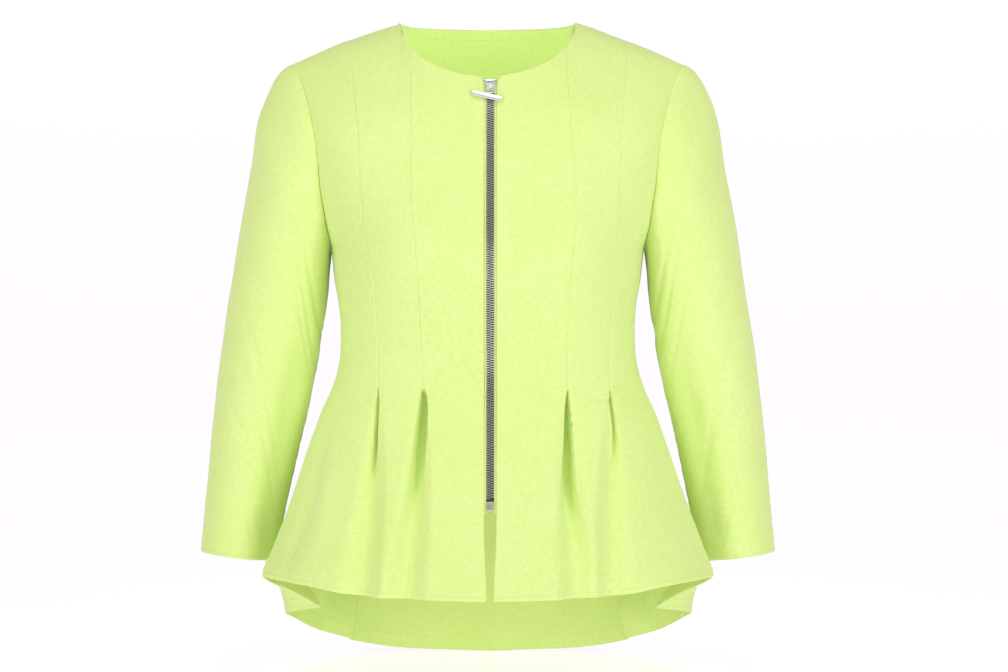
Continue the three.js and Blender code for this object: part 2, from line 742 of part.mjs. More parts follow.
// A wall whose outer face is the grid, drawn back from its edges by half a seam gap.
function wallSolid({ grid, group, wall }, outward, edgeGap = SEAM_GAP / 2) {
  const rows = grid.length - 1;
  const columns = grid[0].length - 1;
  const outer = [];
  const inner = [];
  for (let j = 0; j <= rows; j += 1) {
    for (let i = 0; i <= columns; i += 1) {
      const point = grid[j][i];
      const { normal, isSharp } = outward(point, group);
      const shift = normal.clone().multiplyScalar(isSharp ? -FOLD_CLEARANCE : 0);
      // Moves the edge in by the gap, square to the edge on both sides of the point.
      const drawBack = (before, after, sense) => {
        const square = [[before, point], [point, after]]
          .filter(([from, to]) => from !== to)
          .map(([from, to]) => normal.clone().cross(to.clone().sub(from)).normalize());
        const sum = square.reduce((a, b) => a.clone().add(b));
        const spread = square.length > 1 ? 1 + square[0].dot(square[1]) : 1;
        shift.addScaledVector(sum, (sense * edgeGap) / spread);
      };
      const up = grid[Math.max(0, j - 1)][i];
      const down = grid[Math.min(rows, j + 1)][i];
      if (i === 0) drawBack(up, down, 1);
      if (i === columns) drawBack(up, down, -1);
      if (j === 0 && isOnShoulderSeam(point)) {
        shift.y += edgeGap * Math.sign(grid[1][i].y);
      } else if (j === 0) {
        drawBack(grid[j][Math.max(0, i - 1)], grid[j][Math.min(columns, i + 1)], -1);
      }
      const moved = point.clone().add(shift);
      outer.push(moved);
      inner.push(moved.clone().addScaledVector(normal, -wall));
    }
  }
  const points = [...outer, ...inner];
  const under = outer.length;
  const at = (j, i) => j * (columns + 1) + i;
  const faces = [];
  const quad = (a, b, c, d) => faces.push(a, b, c, a, c, d);
  for (let j = 0; j < rows; j += 1) {
    for (let i = 0; i < columns; i += 1) {
      const corners = [at(j, i), at(j + 1, i), at(j + 1, i + 1), at(j, i + 1)];
      const [a, b, c, d] = corners;
      quad(a, b, c, d);
      quad(a + under, d + under, c + under, b + under);
    }
    quad(at(j, 0), at(j, 0) + under, at(j + 1, 0) + under, at(j + 1, 0));
    quad(at(j + 1, columns), at(j + 1, columns) + under, at(j, columns) + under, at(j, columns));
  }
  for (let i = 0; i < columns; i += 1) {
    quad(at(0, i + 1), at(0, i + 1) + under, at(0, i) + under, at(0, i));
    quad(at(rows, i), at(rows, i) + under, at(rows, i + 1) + under, at(rows, i + 1));
  }
  const geometry = new THREE.BufferGeometry();
  geometry.setAttribute(
    "position",
    new THREE.Float32BufferAttribute(points.flatMap((p) => p.toArray()), 3),
  );
  geometry.setIndex(faces);
  return geometry;
}

// Metal parts, joined as solids

function solidOf(geometry) {
  const bare = geometry.clone();
  bare.deleteAttribute("normal");
  bare.deleteAttribute("uv");
  const merged = mergeVertices(bare, 1e-4);
  return new wasm.Manifold(
    new wasm.Mesh({
      numProp: 3,
      vertProperties: new Float32Array(merged.attributes.position.array),
      triVerts: new Uint32Array(merged.index.array),
    }),
  );
}

function joined(...geometries) {
  const whole = geometries.map(solidOf).reduce((sum, solid) => sum.add(solid));
  const mesh = whole.getMesh();
  const geometry = new THREE.BufferGeometry();
  geometry.setAttribute("position", new THREE.BufferAttribute(new Float32Array(mesh.vertProperties), 3));
  geometry.setIndex(new THREE.BufferAttribute(new Uint32Array(mesh.triVerts), 1));
  return geometry;
}

// A box given by its middle and size: x across, y out of the cloth, z up the zip.
function block(x, y, z, width, thickness, height) {
  return new THREE.BoxGeometry(width, thickness, height).translate(x, y, z);
}

// A plate of the slider, wide at the top, with rounded corners, its face at y.
function sliderPlate(face, thickness) {
  const half = SLIDER.length / 2;
  const top = SLIDER.topWidth / 2;
  const bottom = SLIDER.bottomWidth / 2;
  const round = 1.4;
  const outline = new THREE.Shape();
  outline.moveTo(-bottom + round, -half);
  outline.lineTo(bottom - round, -half);
  outline.quadraticCurveTo(bottom, -half, bottom, -half + round);
  outline.lineTo(top, half - 2 * round);
  outline.quadraticCurveTo(top, half, top - 2 * round, half);
  outline.lineTo(-top + 2 * round, half);
  outline.quadraticCurveTo(-top, half, -top, half - 2 * round);
  outline.lineTo(-bottom, -half + round);
  outline.quadraticCurveTo(-bottom, -half, -bottom + round, -half);
  const plate = new THREE.ExtrudeGeometry(outline, {
    depth: thickness,
    bevelEnabled: false,
    curveSegments: 4,
  });
  return plate.rotateX(Math.PI / 2).translate(0, face, 0);
}

function pinHeight() {
  return SLIDER.frontFace + BAIL.rise / 2 + 0.1;
}

// The slider: two plates joined by a post above the teeth, and a bail on its face. Here y is outwards.
function sliderGeometry() {
  const front = SLIDER.frontFace;
  const plates = [
    sliderPlate(front, SLIDER.plate),
    sliderPlate(SLIDER.backFace + SLIDER.plate, SLIDER.plate),
  ];
  const postTop = SLIDER.length / 2 - SLIDER.postLength / 2 - 0.4;
  const middle = (front + SLIDER.backFace) / 2;
  const post = block(0, middle, postTop, SLIDER.postWidth, front - SLIDER.backFace - 1, SLIDER.postLength);
  const legs = [1, -1].map((end) =>
    block(
      0,
      front + BAIL.rise / 2 - 0.2,
      -BAIL.drop + (end * (BAIL.length - BAIL.bar)) / 2,
      BAIL.width,
      BAIL.rise + 0.4,
      BAIL.bar,
    ),
  );
  const arch = block(0, front + BAIL.rise, -BAIL.drop, BAIL.width, BAIL.bar, BAIL.length);
  return joined(...plates, post, ...legs, arch);
}

// The pull: a pin through the bail, two arms and a crossbar that hangs a little askew. Its origin is the pin.
function pullGeometry() {
  const armX = PULL.halfPin + PULL.armWidth / 2 - 0.1;
  const pin = new THREE.CylinderGeometry(PULL.pinRadius, PULL.pinRadius, 2 * armX, 12).rotateZ(Math.PI / 2);
  const sink = PULL.barRise - pinHeight();
  const lean = Math.atan2(sink, PULL.barMiddle);
  const wide = PULL.armWidth;
  const armMiddle = (wide - PULL.armLength) / 2;
  const arms = [1, -1].map((side) =>
    block(side * armX, 0, armMiddle, wide, wide, PULL.armLength).rotateX(-lean),
  );
  const bridgeDrop = PULL.armLength - 1.3;
  const bridge = block(0, (sink * bridgeDrop) / PULL.barMiddle, -bridgeDrop, 2 * armX + wide, wide, 1.6);
  const bar = barGeometry().rotateY(PULL.barTilt * DEGREE).translate(PULL.barShift, sink, -PULL.barMiddle);
  return joined(pin, ...arms, bridge, bar);
}

function barGeometry() {
  const round = 1.1;
  const half = PULL.barLength / 2;
  const rise = PULL.barHeight / 2;
  const outline = new THREE.Shape();
  outline.moveTo(-half + round, -rise);
  outline.lineTo(half - round, -rise);
  outline.quadraticCurveTo(half, -rise, half, -rise + round);
  outline.lineTo(half, rise - round);
  outline.quadraticCurveTo(half, rise, half - round, rise);
  outline.lineTo(-half + round, rise);
  outline.quadraticCurveTo(-half, rise, -half, rise - round);
  outline.lineTo(-half, -rise + round);
  outline.quadraticCurveTo(-half, -rise, -half + round, -rise);
  const bar = new THREE.ExtrudeGeometry(outline, {
    depth: PULL.barThickness,
    bevelEnabled: false,
    curveSegments: 3,
  });
  return bar.rotateX(Math.PI / 2).translate(0, PULL.barThickness / 2, 0);
}

// The zip's bottom box lies on the tapes, in front of them.
function boxGeometry() {
  return block(0, BOX.thickness / 2 - WALL, 0, BOX.width, BOX.thickness, BOX.height);
}

// Scene graph

function meshOf(name, geometry, look) {
  const mesh = new THREE.Mesh(geometry, new THREE.MeshStandardMaterial(look));
  mesh.name = name;
  return mesh;
}

// A frame on the zip's middle line: x towards the wearer's right, y out of the front, z up the cloth.
function zipFrame(height) {
  const place = frontPoint(ZIP_MIDDLE, height, 0);
  const out = place.clone().sub(frontPoint(ZIP_MIDDLE, height, 1)).normalize();
  const group = new THREE.Group();
  group.position.copy(place);
  group.rotation.set(Math.atan2(-out.z, -out.y), 0, Math.PI);
  return group;
}

const jacket = new THREE.Group();

const cloth = torsoPieces();
for (const [suffix, side] of [["R", -1], ["L", 1]]) {
  cloth.push({
    name: `sleeve_${suffix}`,
    group: "sleeve",
    look: SLEEVE_CLOTH,
    wall: WALL,
    grid: sleeveGrid(side),
  });
}
const outward = outwardOf(cloth);
for (const piece of cloth) jacket.add(meshOf(piece.name, wallSolid(piece, outward), piece.look));
const torsoOutward = (point) => outward(point, "torso").normal;

const panels = Object.fromEntries(cloth.map(({ name, grid }) => [name, grid]));
function addStrip(name, grid, wall, look) {
  const strip = { grid, group: name, wall };
  jacket.add(meshOf(name, wallSolid(strip, outwardOf([strip]), 0), look));
}

addStrip("back_neck_facing", facingGrid(panels.back_centre, torsoOutward), FACING_WALL, INNER_CLOTH);
for (const [suffix, side] of [["R", -1], ["L", 1]]) {
  const grid = tapeGrid(panels[`front_centre_${suffix}`], side, torsoOutward);
  addStrip(`zip_tape_${suffix}`, grid, TAPE.wall, TAPE_CLOTH);
}
const chain = chainGrid(panels.front_centre_R, panels.front_centre_L, torsoOutward);
addStrip("zip_chain", chain, CHAIN.wall, DARK_METAL);

const sliderFrame = zipFrame(SLIDER.height);
sliderFrame.add(meshOf("zip_slider", sliderGeometry(), BRIGHT_METAL));
const pull = meshOf("zip_pull", pullGeometry(), BRIGHT_METAL);
pull.position.set(0, pinHeight(), -BAIL.drop);
sliderFrame.add(pull);
jacket.add(sliderFrame);

const boxFrame = zipFrame(CHAIN.bottom - SEAM_GAP - BOX.height / 2);
const box = meshOf("zip_box", boxGeometry(), DARK_METAL);
boxFrame.add(box);
jacket.add(boxFrame);

export default jacket;
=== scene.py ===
# Looks for the collarless zipped jacket: crepe cloth, seams, stitches, zip teeth and polished metal.
# The tables and surface functions are in millimetres; meshes are written in metres.
# +Z is up, the front faces -Y and the wearer's left is +X.
import math

import bpy
import numpy as np
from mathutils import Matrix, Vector


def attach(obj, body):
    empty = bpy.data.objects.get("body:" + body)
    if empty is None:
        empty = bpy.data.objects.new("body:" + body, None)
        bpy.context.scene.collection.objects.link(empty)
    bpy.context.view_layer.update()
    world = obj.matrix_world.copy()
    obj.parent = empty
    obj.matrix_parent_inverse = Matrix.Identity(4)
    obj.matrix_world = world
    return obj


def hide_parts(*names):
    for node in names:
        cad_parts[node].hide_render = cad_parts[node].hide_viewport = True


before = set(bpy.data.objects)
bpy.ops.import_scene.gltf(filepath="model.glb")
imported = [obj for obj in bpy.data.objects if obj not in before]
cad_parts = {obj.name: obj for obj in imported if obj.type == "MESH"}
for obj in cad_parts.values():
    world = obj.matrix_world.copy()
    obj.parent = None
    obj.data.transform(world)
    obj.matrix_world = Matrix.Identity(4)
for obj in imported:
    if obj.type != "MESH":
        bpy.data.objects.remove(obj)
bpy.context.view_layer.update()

MM = 0.001

# Cloth
WALL = 1.6
NECK_HALF_WIDTH = 87
NECK_RISE = 35
FRONT_NECK_DROP = 59
BACK_NECK_DROP = 1
SHOULDER_HALF_WIDTH = 196
SHOULDER_SLOPE = 0.38
SHOULDER_CURVE = 1.8
SHOULDER_ROUNDING = 110
BUST = {"depth": 8, "offset": 86, "height": -230, "width": 48, "length": 55}
PLEAT_TOP = -366
UNDERARM = -228


def table(columns, rows):
    return {name: np.array([row[k] for row in rows], float) for k, name in enumerate(columns)}


# The torso's plan at each height is a superellipse, with its own depth in front and behind.
TORSO = table(
    ["height", "halfWidth", "frontDepth", "backDepth", "squareness"],
    [
        [-660, 219, 190, 190, 2.3],
        [-600, 217, 178, 173, 2.3],
        [-575, 221, 171, 166, 2.3],
        [-549, 231, 163, 158, 2.3],
        [-520, 219, 153, 148, 2.32],
        [-487, 205, 142, 135, 2.34],
        [-437, 186, 126.5, 115, 2.38],
        [-410, 175.5, 118, 104, 2.4],
        [-389, 167, 111.5, 95.5, 2.42],
        [-366, 156, 104.5, 84, 2.45],
        [-350, 151, 103, 80.5, 2.46],
        [-330, 147.5, 105.5, 81.5, 2.48],
        [-305, 147, 113, 85, 2.5],
        [-281, 149, 121.5, 90, 2.5],
        [-257, 153, 128.5, 96, 2.5],
        [-228, 156, 130, 103, 2.5],
        [-200, 168, 125.5, 108, 2.5],
        [-170, 178, 118, 111, 2.5],
        [-140, 184, 110.5, 112, 2.5],
        [-100, 194, 98, 108, 2.5],
        [-60, 201.5, 83, 97, 2.5],
        [0, 210, 68, 84, 2.5],
        [40, 214, 58, 70, 2.5],
    ],
)

# Where the seams lie from the middle, by height; minus is the wearer's right.
FRONT_SEAMS = table(
    ["height", "rightSide", "rightMiddle", "leftMiddle", "leftSide"],
    [
        [-600, -128, -83, 90, 122],
        [-565, -124, -80, 88, 121],
        [-500, -116, -72.5, 83.5, 120],
        [-440, -110.5, -67.5, 80, 119.5],
        [-366, -107, -63.5, 78, 120],
        [-320, -107.4, -64.6, 78.2, 120.5],
        [-260, -111, -67, 81, 123.5],
        [-216, -120, -71, 85.5, 126.5],
        [-175, -123.5, -74, 86.4, 129],
        [-117, -126.5, -74.3, 82, 132],
        [-60, -133, -75.5, 78.5, 136],
        [-20, -136.8, -76.3, 77.4, 141],
        [0, -139.5, -77, 77, 142.5],
    ],
)
BACK_SEAM = table(
    ["height", "fromMiddle"],
    [
        [-650, 161],
        [-550, 140],
        [-450, 115],
        [-366, 93],
        [-300, 92],
        [-200, 105],
        [-100, 115],
        [0, 120],
    ],
)

# The armhole's edge below the shoulder, as the angle round the plan from the side.
ARMHOLE = table(
    ["height", "angle"],
    [
        [-49, 22.7],
        [-62, 25.7],
        [-88, 29],
        [-113, 29.4],
        [-142, 27.4],
        [-167, 25.4],
        [-188, 22.8],
        [-204, 18.6],
        [-217, 12.6],
        [-225, 6.3],
        [UNDERARM, 0],
    ],
)
BACK_ARMHOLE_SHARE = 0.95

# The hem's height, by angle from the side: -90 is the middle front and 90 the middle back.
HEM = table(
    ["angle", "height"],
    [
        [-90, -565],
        [-61.7, -562],
        [-44.7, -554],
        [-32.5, -551],
        [-17.8, -549],
        [-9, -562],
        [0, -584],
        [9, -590],
        [20.6, -598],
        [35, -614],
        [51, -630],
        [70, -641.5],
        [90, -645.5],
    ],
)

# An inverted pleat opens downwards from its seam; its fold lies on the seam. The back ones stay sharp. The
# front ones are a narrow slit at the top and a soft valley further down.
BACK_PLEAT = table(
    ["drop", "depth", "halfWidth"],
    [
        [0, 0, 4.5],
        [12, 4, 5],
        [30, 8.5, 6.5],
        [60, 13, 10],
        [100, 17, 15],
        [150, 20, 20],
        [200, 22, 24],
        [290, 25, 28],
    ],
)

# How much steeper the flank of a back pleat is on the side of the middle back
BACK_LEAN = 2.2

# The soft valley of a front pleat: its depth and half width at each drop below the pleat's top
FRONT_VALLEY = table(
    ["drop", "depth", "halfWidth"],
    [
        [0, 0, 8],
        [12, 0.8, 9],
        [30, 2, 11],
        [60, 4.5, 14],
        [100, 9.5, 18],
        [150, 13, 22],
        [200, 14, 25],
        [290, 14, 28],
    ],
)

# The front slits, by height: where the slit's middle lies from the seam, half its width, how wide its soft
# edge is and how deep it goes.
SLIT_COLUMNS = ["height", "middle", "halfWidth", "edge", "depth"]
SLITS = {
    "rightSide": table(
        SLIT_COLUMNS,
        [
            [-500, -4, 6, 12, 0],
            [-462, -3, 4, 7, 3],
            [-440, -2.2, 2.8, 4, 7],
            [-418, -1.6, 2.1, 2.2, 11],
            [-400, -1.2, 2.2, 1.6, 13],
            [-384, -0.8, 2.0, 1.4, 12],
            [-372, -0.2, 0.9, 1.2, 7],
            [-364, 0.2, 0.3, 1.0, 0],
        ],
    ),
    "rightMiddle": table(
        SLIT_COLUMNS,
        [
            [-512, -2, 8, 14, 0],
            [-478, -1, 6.5, 8, 5],
            [-452, -0.5, 5.8, 4.5, 11],
            [-423, 0, 5.4, 2.4, 16],
            [-404, 0.5, 4.9, 1.6, 17],
            [-384, 1.0, 3.8, 1.4, 15],
            [-372, 1.2, 2.2, 1.3, 9],
            [-364, 1.0, 0.5, 1.0, 0],
        ],
    ),
    "leftMiddle": table(
        SLIT_COLUMNS,
        [
            [-520, -1, 9, 14, 0],
            [-486, -1, 7.5, 8, 7],
            [-462, -1.2, 6.6, 3.5, 14],
            [-440, -0.9, 5.7, 1.8, 17],
            [-413, -0.4, 3.7, 1.4, 17],
            [-384, -0.2, 1.7, 1.2, 14],
            [-374, -0.1, 0.9, 1.0, 9],
            [-366, 0, 0.3, 0.9, 0],
        ],
    ),
    "leftSide": table(
        SLIT_COLUMNS,
        [
            [-480, 8, 5, 12, 0],
            [-446, 7.6, 3, 7, 3.5],
            [-424, 7.2, 2.0, 4, 7],
            [-404, 6.0, 1.6, 2.2, 11],
            [-394, 4.6, 1.8, 1.7, 12],
            [-384, 2.8, 1.6, 1.5, 11],
            [-374, 1.0, 1.2, 1.2, 8],
            [-366, -0.4, 0.3, 1.0, 0],
        ],
    ),
}
SIDE_PLEAT = table(
    ["drop", "depth", "halfWidth"],
    [
        [0, 0, 24],
        [20, 1, 27],
        [65, 3.5, 36],
        [115, 14, 46],
        [165, 32, 57],
        [218, 50, 67],
    ],
)

# Each sleeve section: its top and underarm ends, and its half depth and middle from front to back.
SLEEVE = table(
    ["topX", "topZ", "underX", "underZ", "halfDepth", "middleY", "armholeShare"],
    [
        [196, -41.4, 156, -228, 58, 0, 1],
        [204, -46, 157, -233, 60.5, 0, 0.95],
        [213, -57, 157.4, -240, 61.5, 0, 0.86],
        [223.5, -79, 158.2, -251, 61.5, 0, 0.7],
        [232, -106, 159, -266, 61, 0, 0.5],
        [237.3, -144, 161.4, -287, 60, 1, 0.3],
        [245.4, -190, 165.4, -316, 58.5, 2, 0.13],
        [253.2, -240, 171, -348, 56.5, 4, 0.04],
        [261.7, -294, 178, -381, 54.5, 5, 0],
        [269.7, -350, 186, -416, 52, 6, 0],
        [276.2, -405, 194.5, -453, 49.5, 7, 0],
        [282.5, -468, 203.5, -496, 47, 8, 0],
        [288, -528, 212, -538, 45, 8, 0],
    ],
)
SLEEVE_ROWS = 170

# The zip, its middle line a little to the wearer's left
ZIP_MIDDLE = 2.7
ZIP_OPENING = table(
    ["height", "halfGap"],
    [
        [-600, 3.4],
        [-565, 3.5],
        [-490, 6],
        [-481, 6],
        [-300, 6],
        [-80, 6],
        [-67, 6.4],
        [-59, 9.5],
        [-40, 10],
    ],
)
CHAIN = {"halfWidth": 3.9, "thickness": 2.2, "depth": 0.9, "top": -76, "bottom": -471.5}
TAPE = {"reach": 8.5, "wall": 0.8, "top": -61.5, "bottom": -482.5}
TOOTH = {"pitch": 2.3, "length": 4.1, "height": 1.0, "bevel": 0.2}
BOX = {"width": 7.2, "height": 8.6, "thickness": 2.9}
BOX_RIB = {"halfWidth": 0.7, "rise": 0.35}
SLIDER = {
    "height": -69,
    "length": 12.6,
    "topWidth": 11,
    "bottomWidth": 7,
    "plate": 1.3,
    "frontFace": 1.2,
    "backFace": -5.6,
    "postWidth": 3,
    "postLength": 3,
}
BAIL = {"width": 2.2, "length": 6.4, "rise": 3.1, "bar": 1.0, "drop": 1.4}
PULL = {
    "pinRadius": 0.6,
    "halfPin": 2.1,
    "armWidth": 1.2,
    "armLength": 8,
    "barLength": 31,
    "barHeight": 5.4,
    "barThickness": 2.6,
    "barMiddle": 11.0,
    "barTilt": -14,
    "barShift": 3.2,
    "barRise": 1.9,
}


# Small sums

def mix(a, b, share):
    return a + (b - a) * share


def soften(share):
    s = np.clip(share, 0, 1)
    return s * s * (3 - 2 * s)


# A smooth curve through a table's rows that never overshoots them.
def smooth_at(xs, ys, x):
    xs, ys, x = (np.asarray(v, float) for v in (xs, ys, x))
    if xs[-1] < xs[0]:
        xs, ys = xs[::-1], ys[::-1]
    x = np.clip(x, xs[0], xs[-1])
    step = np.diff(xs)
    secant = np.diff(ys) / step
    before, after = secant[:-1], secant[1:]
    product = before * after
    total = np.where(product > 0, before + after, 1.0)
    inner = np.where(product > 0, 2 * product / total, 0.0)
    slope = np.concatenate([secant[:1], inner, secant[-1:]])
    k = np.clip(np.searchsorted(xs, x, side="right") - 1, 0, len(step) - 1)
    t = (x - xs[k]) / step[k]
    t2, t3 = t * t, t * t * t
    value = (2 * t3 - 3 * t2 + 1) * ys[k] + (3 * t2 - 2 * t3) * ys[k + 1]
    return value + (t3 - 2 * t2 + t) * step[k] * slope[k] + (t3 - t2) * step[k] * slope[k + 1]


def length_of(vectors):
    return np.sqrt((vectors * vectors).sum(axis=-1))


def unit(vectors):
    return vectors / np.maximum(length_of(vectors), 1e-9)[..., None]


# The torso's surface

def ridge(x):
    out = np.abs(x)
    inside = NECK_RISE * (1 - (out / NECK_HALF_WIDTH) ** 2)
    share = np.clip((out - NECK_HALF_WIDTH) / (SHOULDER_HALF_WIDTH - NECK_HALF_WIDTH), 0, 1)
    outside = SHOULDER_CURVE * np.sin(np.pi * share) - SHOULDER_SLOPE * (out - NECK_HALF_WIDTH)
    return np.where(out < NECK_HALF_WIDTH, inside, outside)


def plan_at(height):
    names = ["halfWidth", "frontDepth", "backDepth", "squareness"]
    return [smooth_at(TORSO["height"], TORSO[name], height) for name in names]


def angle_at(x, height, is_back):
    half_width, _, _, power = plan_at(height)
    share = np.clip(np.abs(x) / half_width, 0, 1) ** (power / 2)
    angle = np.degrees(np.arccos(np.sign(x) * share))
    return angle if is_back else -angle


def ring_point(angle, height):
    angle, height = np.broadcast_arrays(np.asarray(angle, float), np.asarray(height, float))
    half_width, front, back, power = plan_at(height)
    c = np.cos(np.radians(angle))
    s = np.sin(np.radians(angle))
    x = half_width * np.sign(c) * np.abs(c) ** (2 / power)
    y = np.where(s < 0, front, back) * np.sign(s) * np.abs(s) ** (2 / power)
    below = np.clip((ridge(x) - height) / SHOULDER_ROUNDING, 0, 1)
    y = y * np.sqrt(1 - (1 - below) ** 2)
    across = (np.abs(x) - BUST["offset"]) / BUST["width"]
    along = (height - BUST["height"]) / BUST["length"]
    swell = BUST["depth"] * s * s * np.exp(-across * across - along * along)
    y = y - np.where(s < 0, swell, 0)
    return np.stack([x, y, height], axis=-1)


def inward_in_plan(point, angle):
    half_width, front, back, power = plan_at(point[..., 2])
    depth = np.where(np.sin(np.radians(angle)) < 0, front, back)
    x, y = point[..., 0], point[..., 1]
    nx = np.sign(x) * (np.abs(x) / half_width) ** (power - 1) / half_width
    ny = np.sign(y) * (np.abs(y) / depth) ** (power - 1) / depth
    return -unit(np.stack([nx, ny, np.zeros_like(nx)], axis=-1))


# How far a pleat draws the cloth in, at a distance from its seam.
def drawn_in(profile, drop, distance, is_soft):
    half_width = smooth_at(profile["drop"], profile["halfWidth"], drop)
    share = np.clip(1 - np.abs(distance) / half_width, 0, 1)
    shape = soften(share) if is_soft else share ** 1.2
    return np.where(drop > 0, smooth_at(profile["drop"], profile["depth"], drop) * shape, 0)


def slit_depth(slit, height, distance):
    middle, half_width, edge, depth = (smooth_at(slit["height"], slit[k], height) for k in SLIT_COLUMNS[1:])
    beyond = (np.abs(distance - middle) - half_width + edge / 2) / edge
    return depth * (1 - soften(beyond))


# How far a row's points lie from a seam, plus towards the wearer's left
def seam_distance(base, seam_x, is_back):
    height = base[..., 2]
    seam = ring_point(angle_at(seam_x, height, is_back), height)
    return length_of(base - seam) * np.sign(base[..., 0] - seam[..., 0])


def torso_point(angle, height, is_back):
    base = ring_point(angle, height)
    angle = np.broadcast_to(angle, base.shape[:-1])
    height = base[..., 2]
    drop = PLEAT_TOP - height
    side = ring_point(np.where(base[..., 0] < 0, 180.0, 0.0), height)
    inward = drawn_in(SIDE_PLEAT, drop, length_of(base - side), True)
    if is_back:
        out = smooth_at(BACK_SEAM["height"], BACK_SEAM["fromMiddle"], height)
        for side in (-1, 1):
            distance = seam_distance(base, side * out, True) * side
            distance = np.where(distance < 0, distance * BACK_LEAN, distance)
            inward = inward + drawn_in(BACK_PLEAT, drop, distance, False)
    else:
        for name, slit in SLITS.items():
            x = smooth_at(FRONT_SEAMS["height"], FRONT_SEAMS[name], height)
            distance = seam_distance(base, x, False)
            inward = inward + drawn_in(FRONT_VALLEY, drop, distance, True)
            inward = inward + slit_depth(slit, height, distance)
    return base + inward_in_plan(base, angle) * inward[..., None]


# Edges of the pieces

def neck_height(x, is_back):
    share = np.sqrt(np.maximum(0, 1 - (x / NECK_HALF_WIDTH) ** 2))
    return -(BACK_NECK_DROP if is_back else FRONT_NECK_DROP) * share


def top_height(x, is_back):
    return np.where(np.abs(x) < NECK_HALF_WIDTH, neck_height(x, is_back), ridge(x))


def hem_height(angle):
    turn = np.where(angle > 90, 180 - angle, angle)
    turn = np.where(angle < -90, -180 - angle, turn)
    return smooth_at(HEM["angle"], HEM["height"], turn)


ARMHOLE_TOP = float(ridge(SHOULDER_HALF_WIDTH))
SHOULDER_ANGLE = float(np.abs(angle_at(SHOULDER_HALF_WIDTH, ARMHOLE_TOP, False)))
ROW_HEIGHTS = np.concatenate([[ARMHOLE_TOP], ARMHOLE["height"]])
ROW_SHARES = (ROW_HEIGHTS - ARMHOLE_TOP) / (UNDERARM - ARMHOLE_TOP)
LOWER_POWER = 1.15


# Rows run from 0 at the top edge to 1 at the underarm, 2 at the waist and 3 at the hem.
def row_places():
    edge = np.array([0, 0.6, 1.3, 2.2, 3.3]) / 190
    upper = np.concatenate([edge[:-1], np.linspace(edge[-1], 1, 62)])
    waist = np.linspace(1, 2, 46)[1:]
    near_hem = 3 - np.array([19, 18, 17, 16, 15, 14, 13, 12, 11, 10, 9, 8, 7, 6.2, 5.4, 4.6, 3.8, 3,
                             2.2, 1.5, 0.9, 0.4, 0]) / 230
    lower = np.concatenate([np.linspace(2, 2.35, 54)[1:], np.linspace(2.35, near_hem[0], 46)[1:-1]])
    return np.concatenate([upper, waist, lower, near_hem])


ROWS = row_places()


def row_height(row, top, hem):
    upper = mix(top, UNDERARM, np.clip(row, 0, 1))
    waist = mix(UNDERARM, PLEAT_TOP, np.clip(row - 1, 0, 1))
    lower = mix(PLEAT_TOP, hem, np.clip(row - 2, 0, 1) ** LOWER_POWER)
    return np.where(row <= 1, upper, np.where(row <= 2, waist, lower))


def seam_line(x_at, is_back):
    top, hem = -20.0, -600.0
    for _ in range(30):
        top = float(top_height(x_at(top), is_back))
        hem = float(hem_height(angle_at(x_at(hem), hem, is_back)))
    height = row_height(ROWS, top, hem)
    return {"angle": angle_at(x_at(height), height, is_back), "height": height}


# The armhole's edge and then the side seam, on the wearer's left (side 1) or right (side -1).
def side_line(side, is_back):
    share = BACK_ARMHOLE_SHARE if is_back else 1
    angles = np.concatenate([[SHOULDER_ANGLE], ARMHOLE["angle"] * share])
    height = row_height(ROWS, ARMHOLE_TOP, float(hem_height(np.array(0.0))))
    turn = np.where(ROWS < 1, smooth_at(ROW_HEIGHTS, angles, height), 0.0)
    turn = turn if side > 0 else 180 - turn
    return {"angle": turn * (1 if is_back else -1), "height": height}


# Places across a row from one edge to the other, closer together beside the edges.
EDGE_STEPS = [0, 0.5, 1.1, 1.8, 2.5, 3.2, 3.9, 4.6, 5.3, 6.0, 6.8, 7.7, 8.8, 10.2]


def column_offsets(count, width):
    middle = np.linspace(EDGE_STEPS[-1], width - EDGE_STEPS[-1], count - 2 * len(EDGE_STEPS) + 3)
    return np.concatenate([EDGE_STEPS[:-1], middle, width - np.array(EDGE_STEPS[:-1])[::-1]])


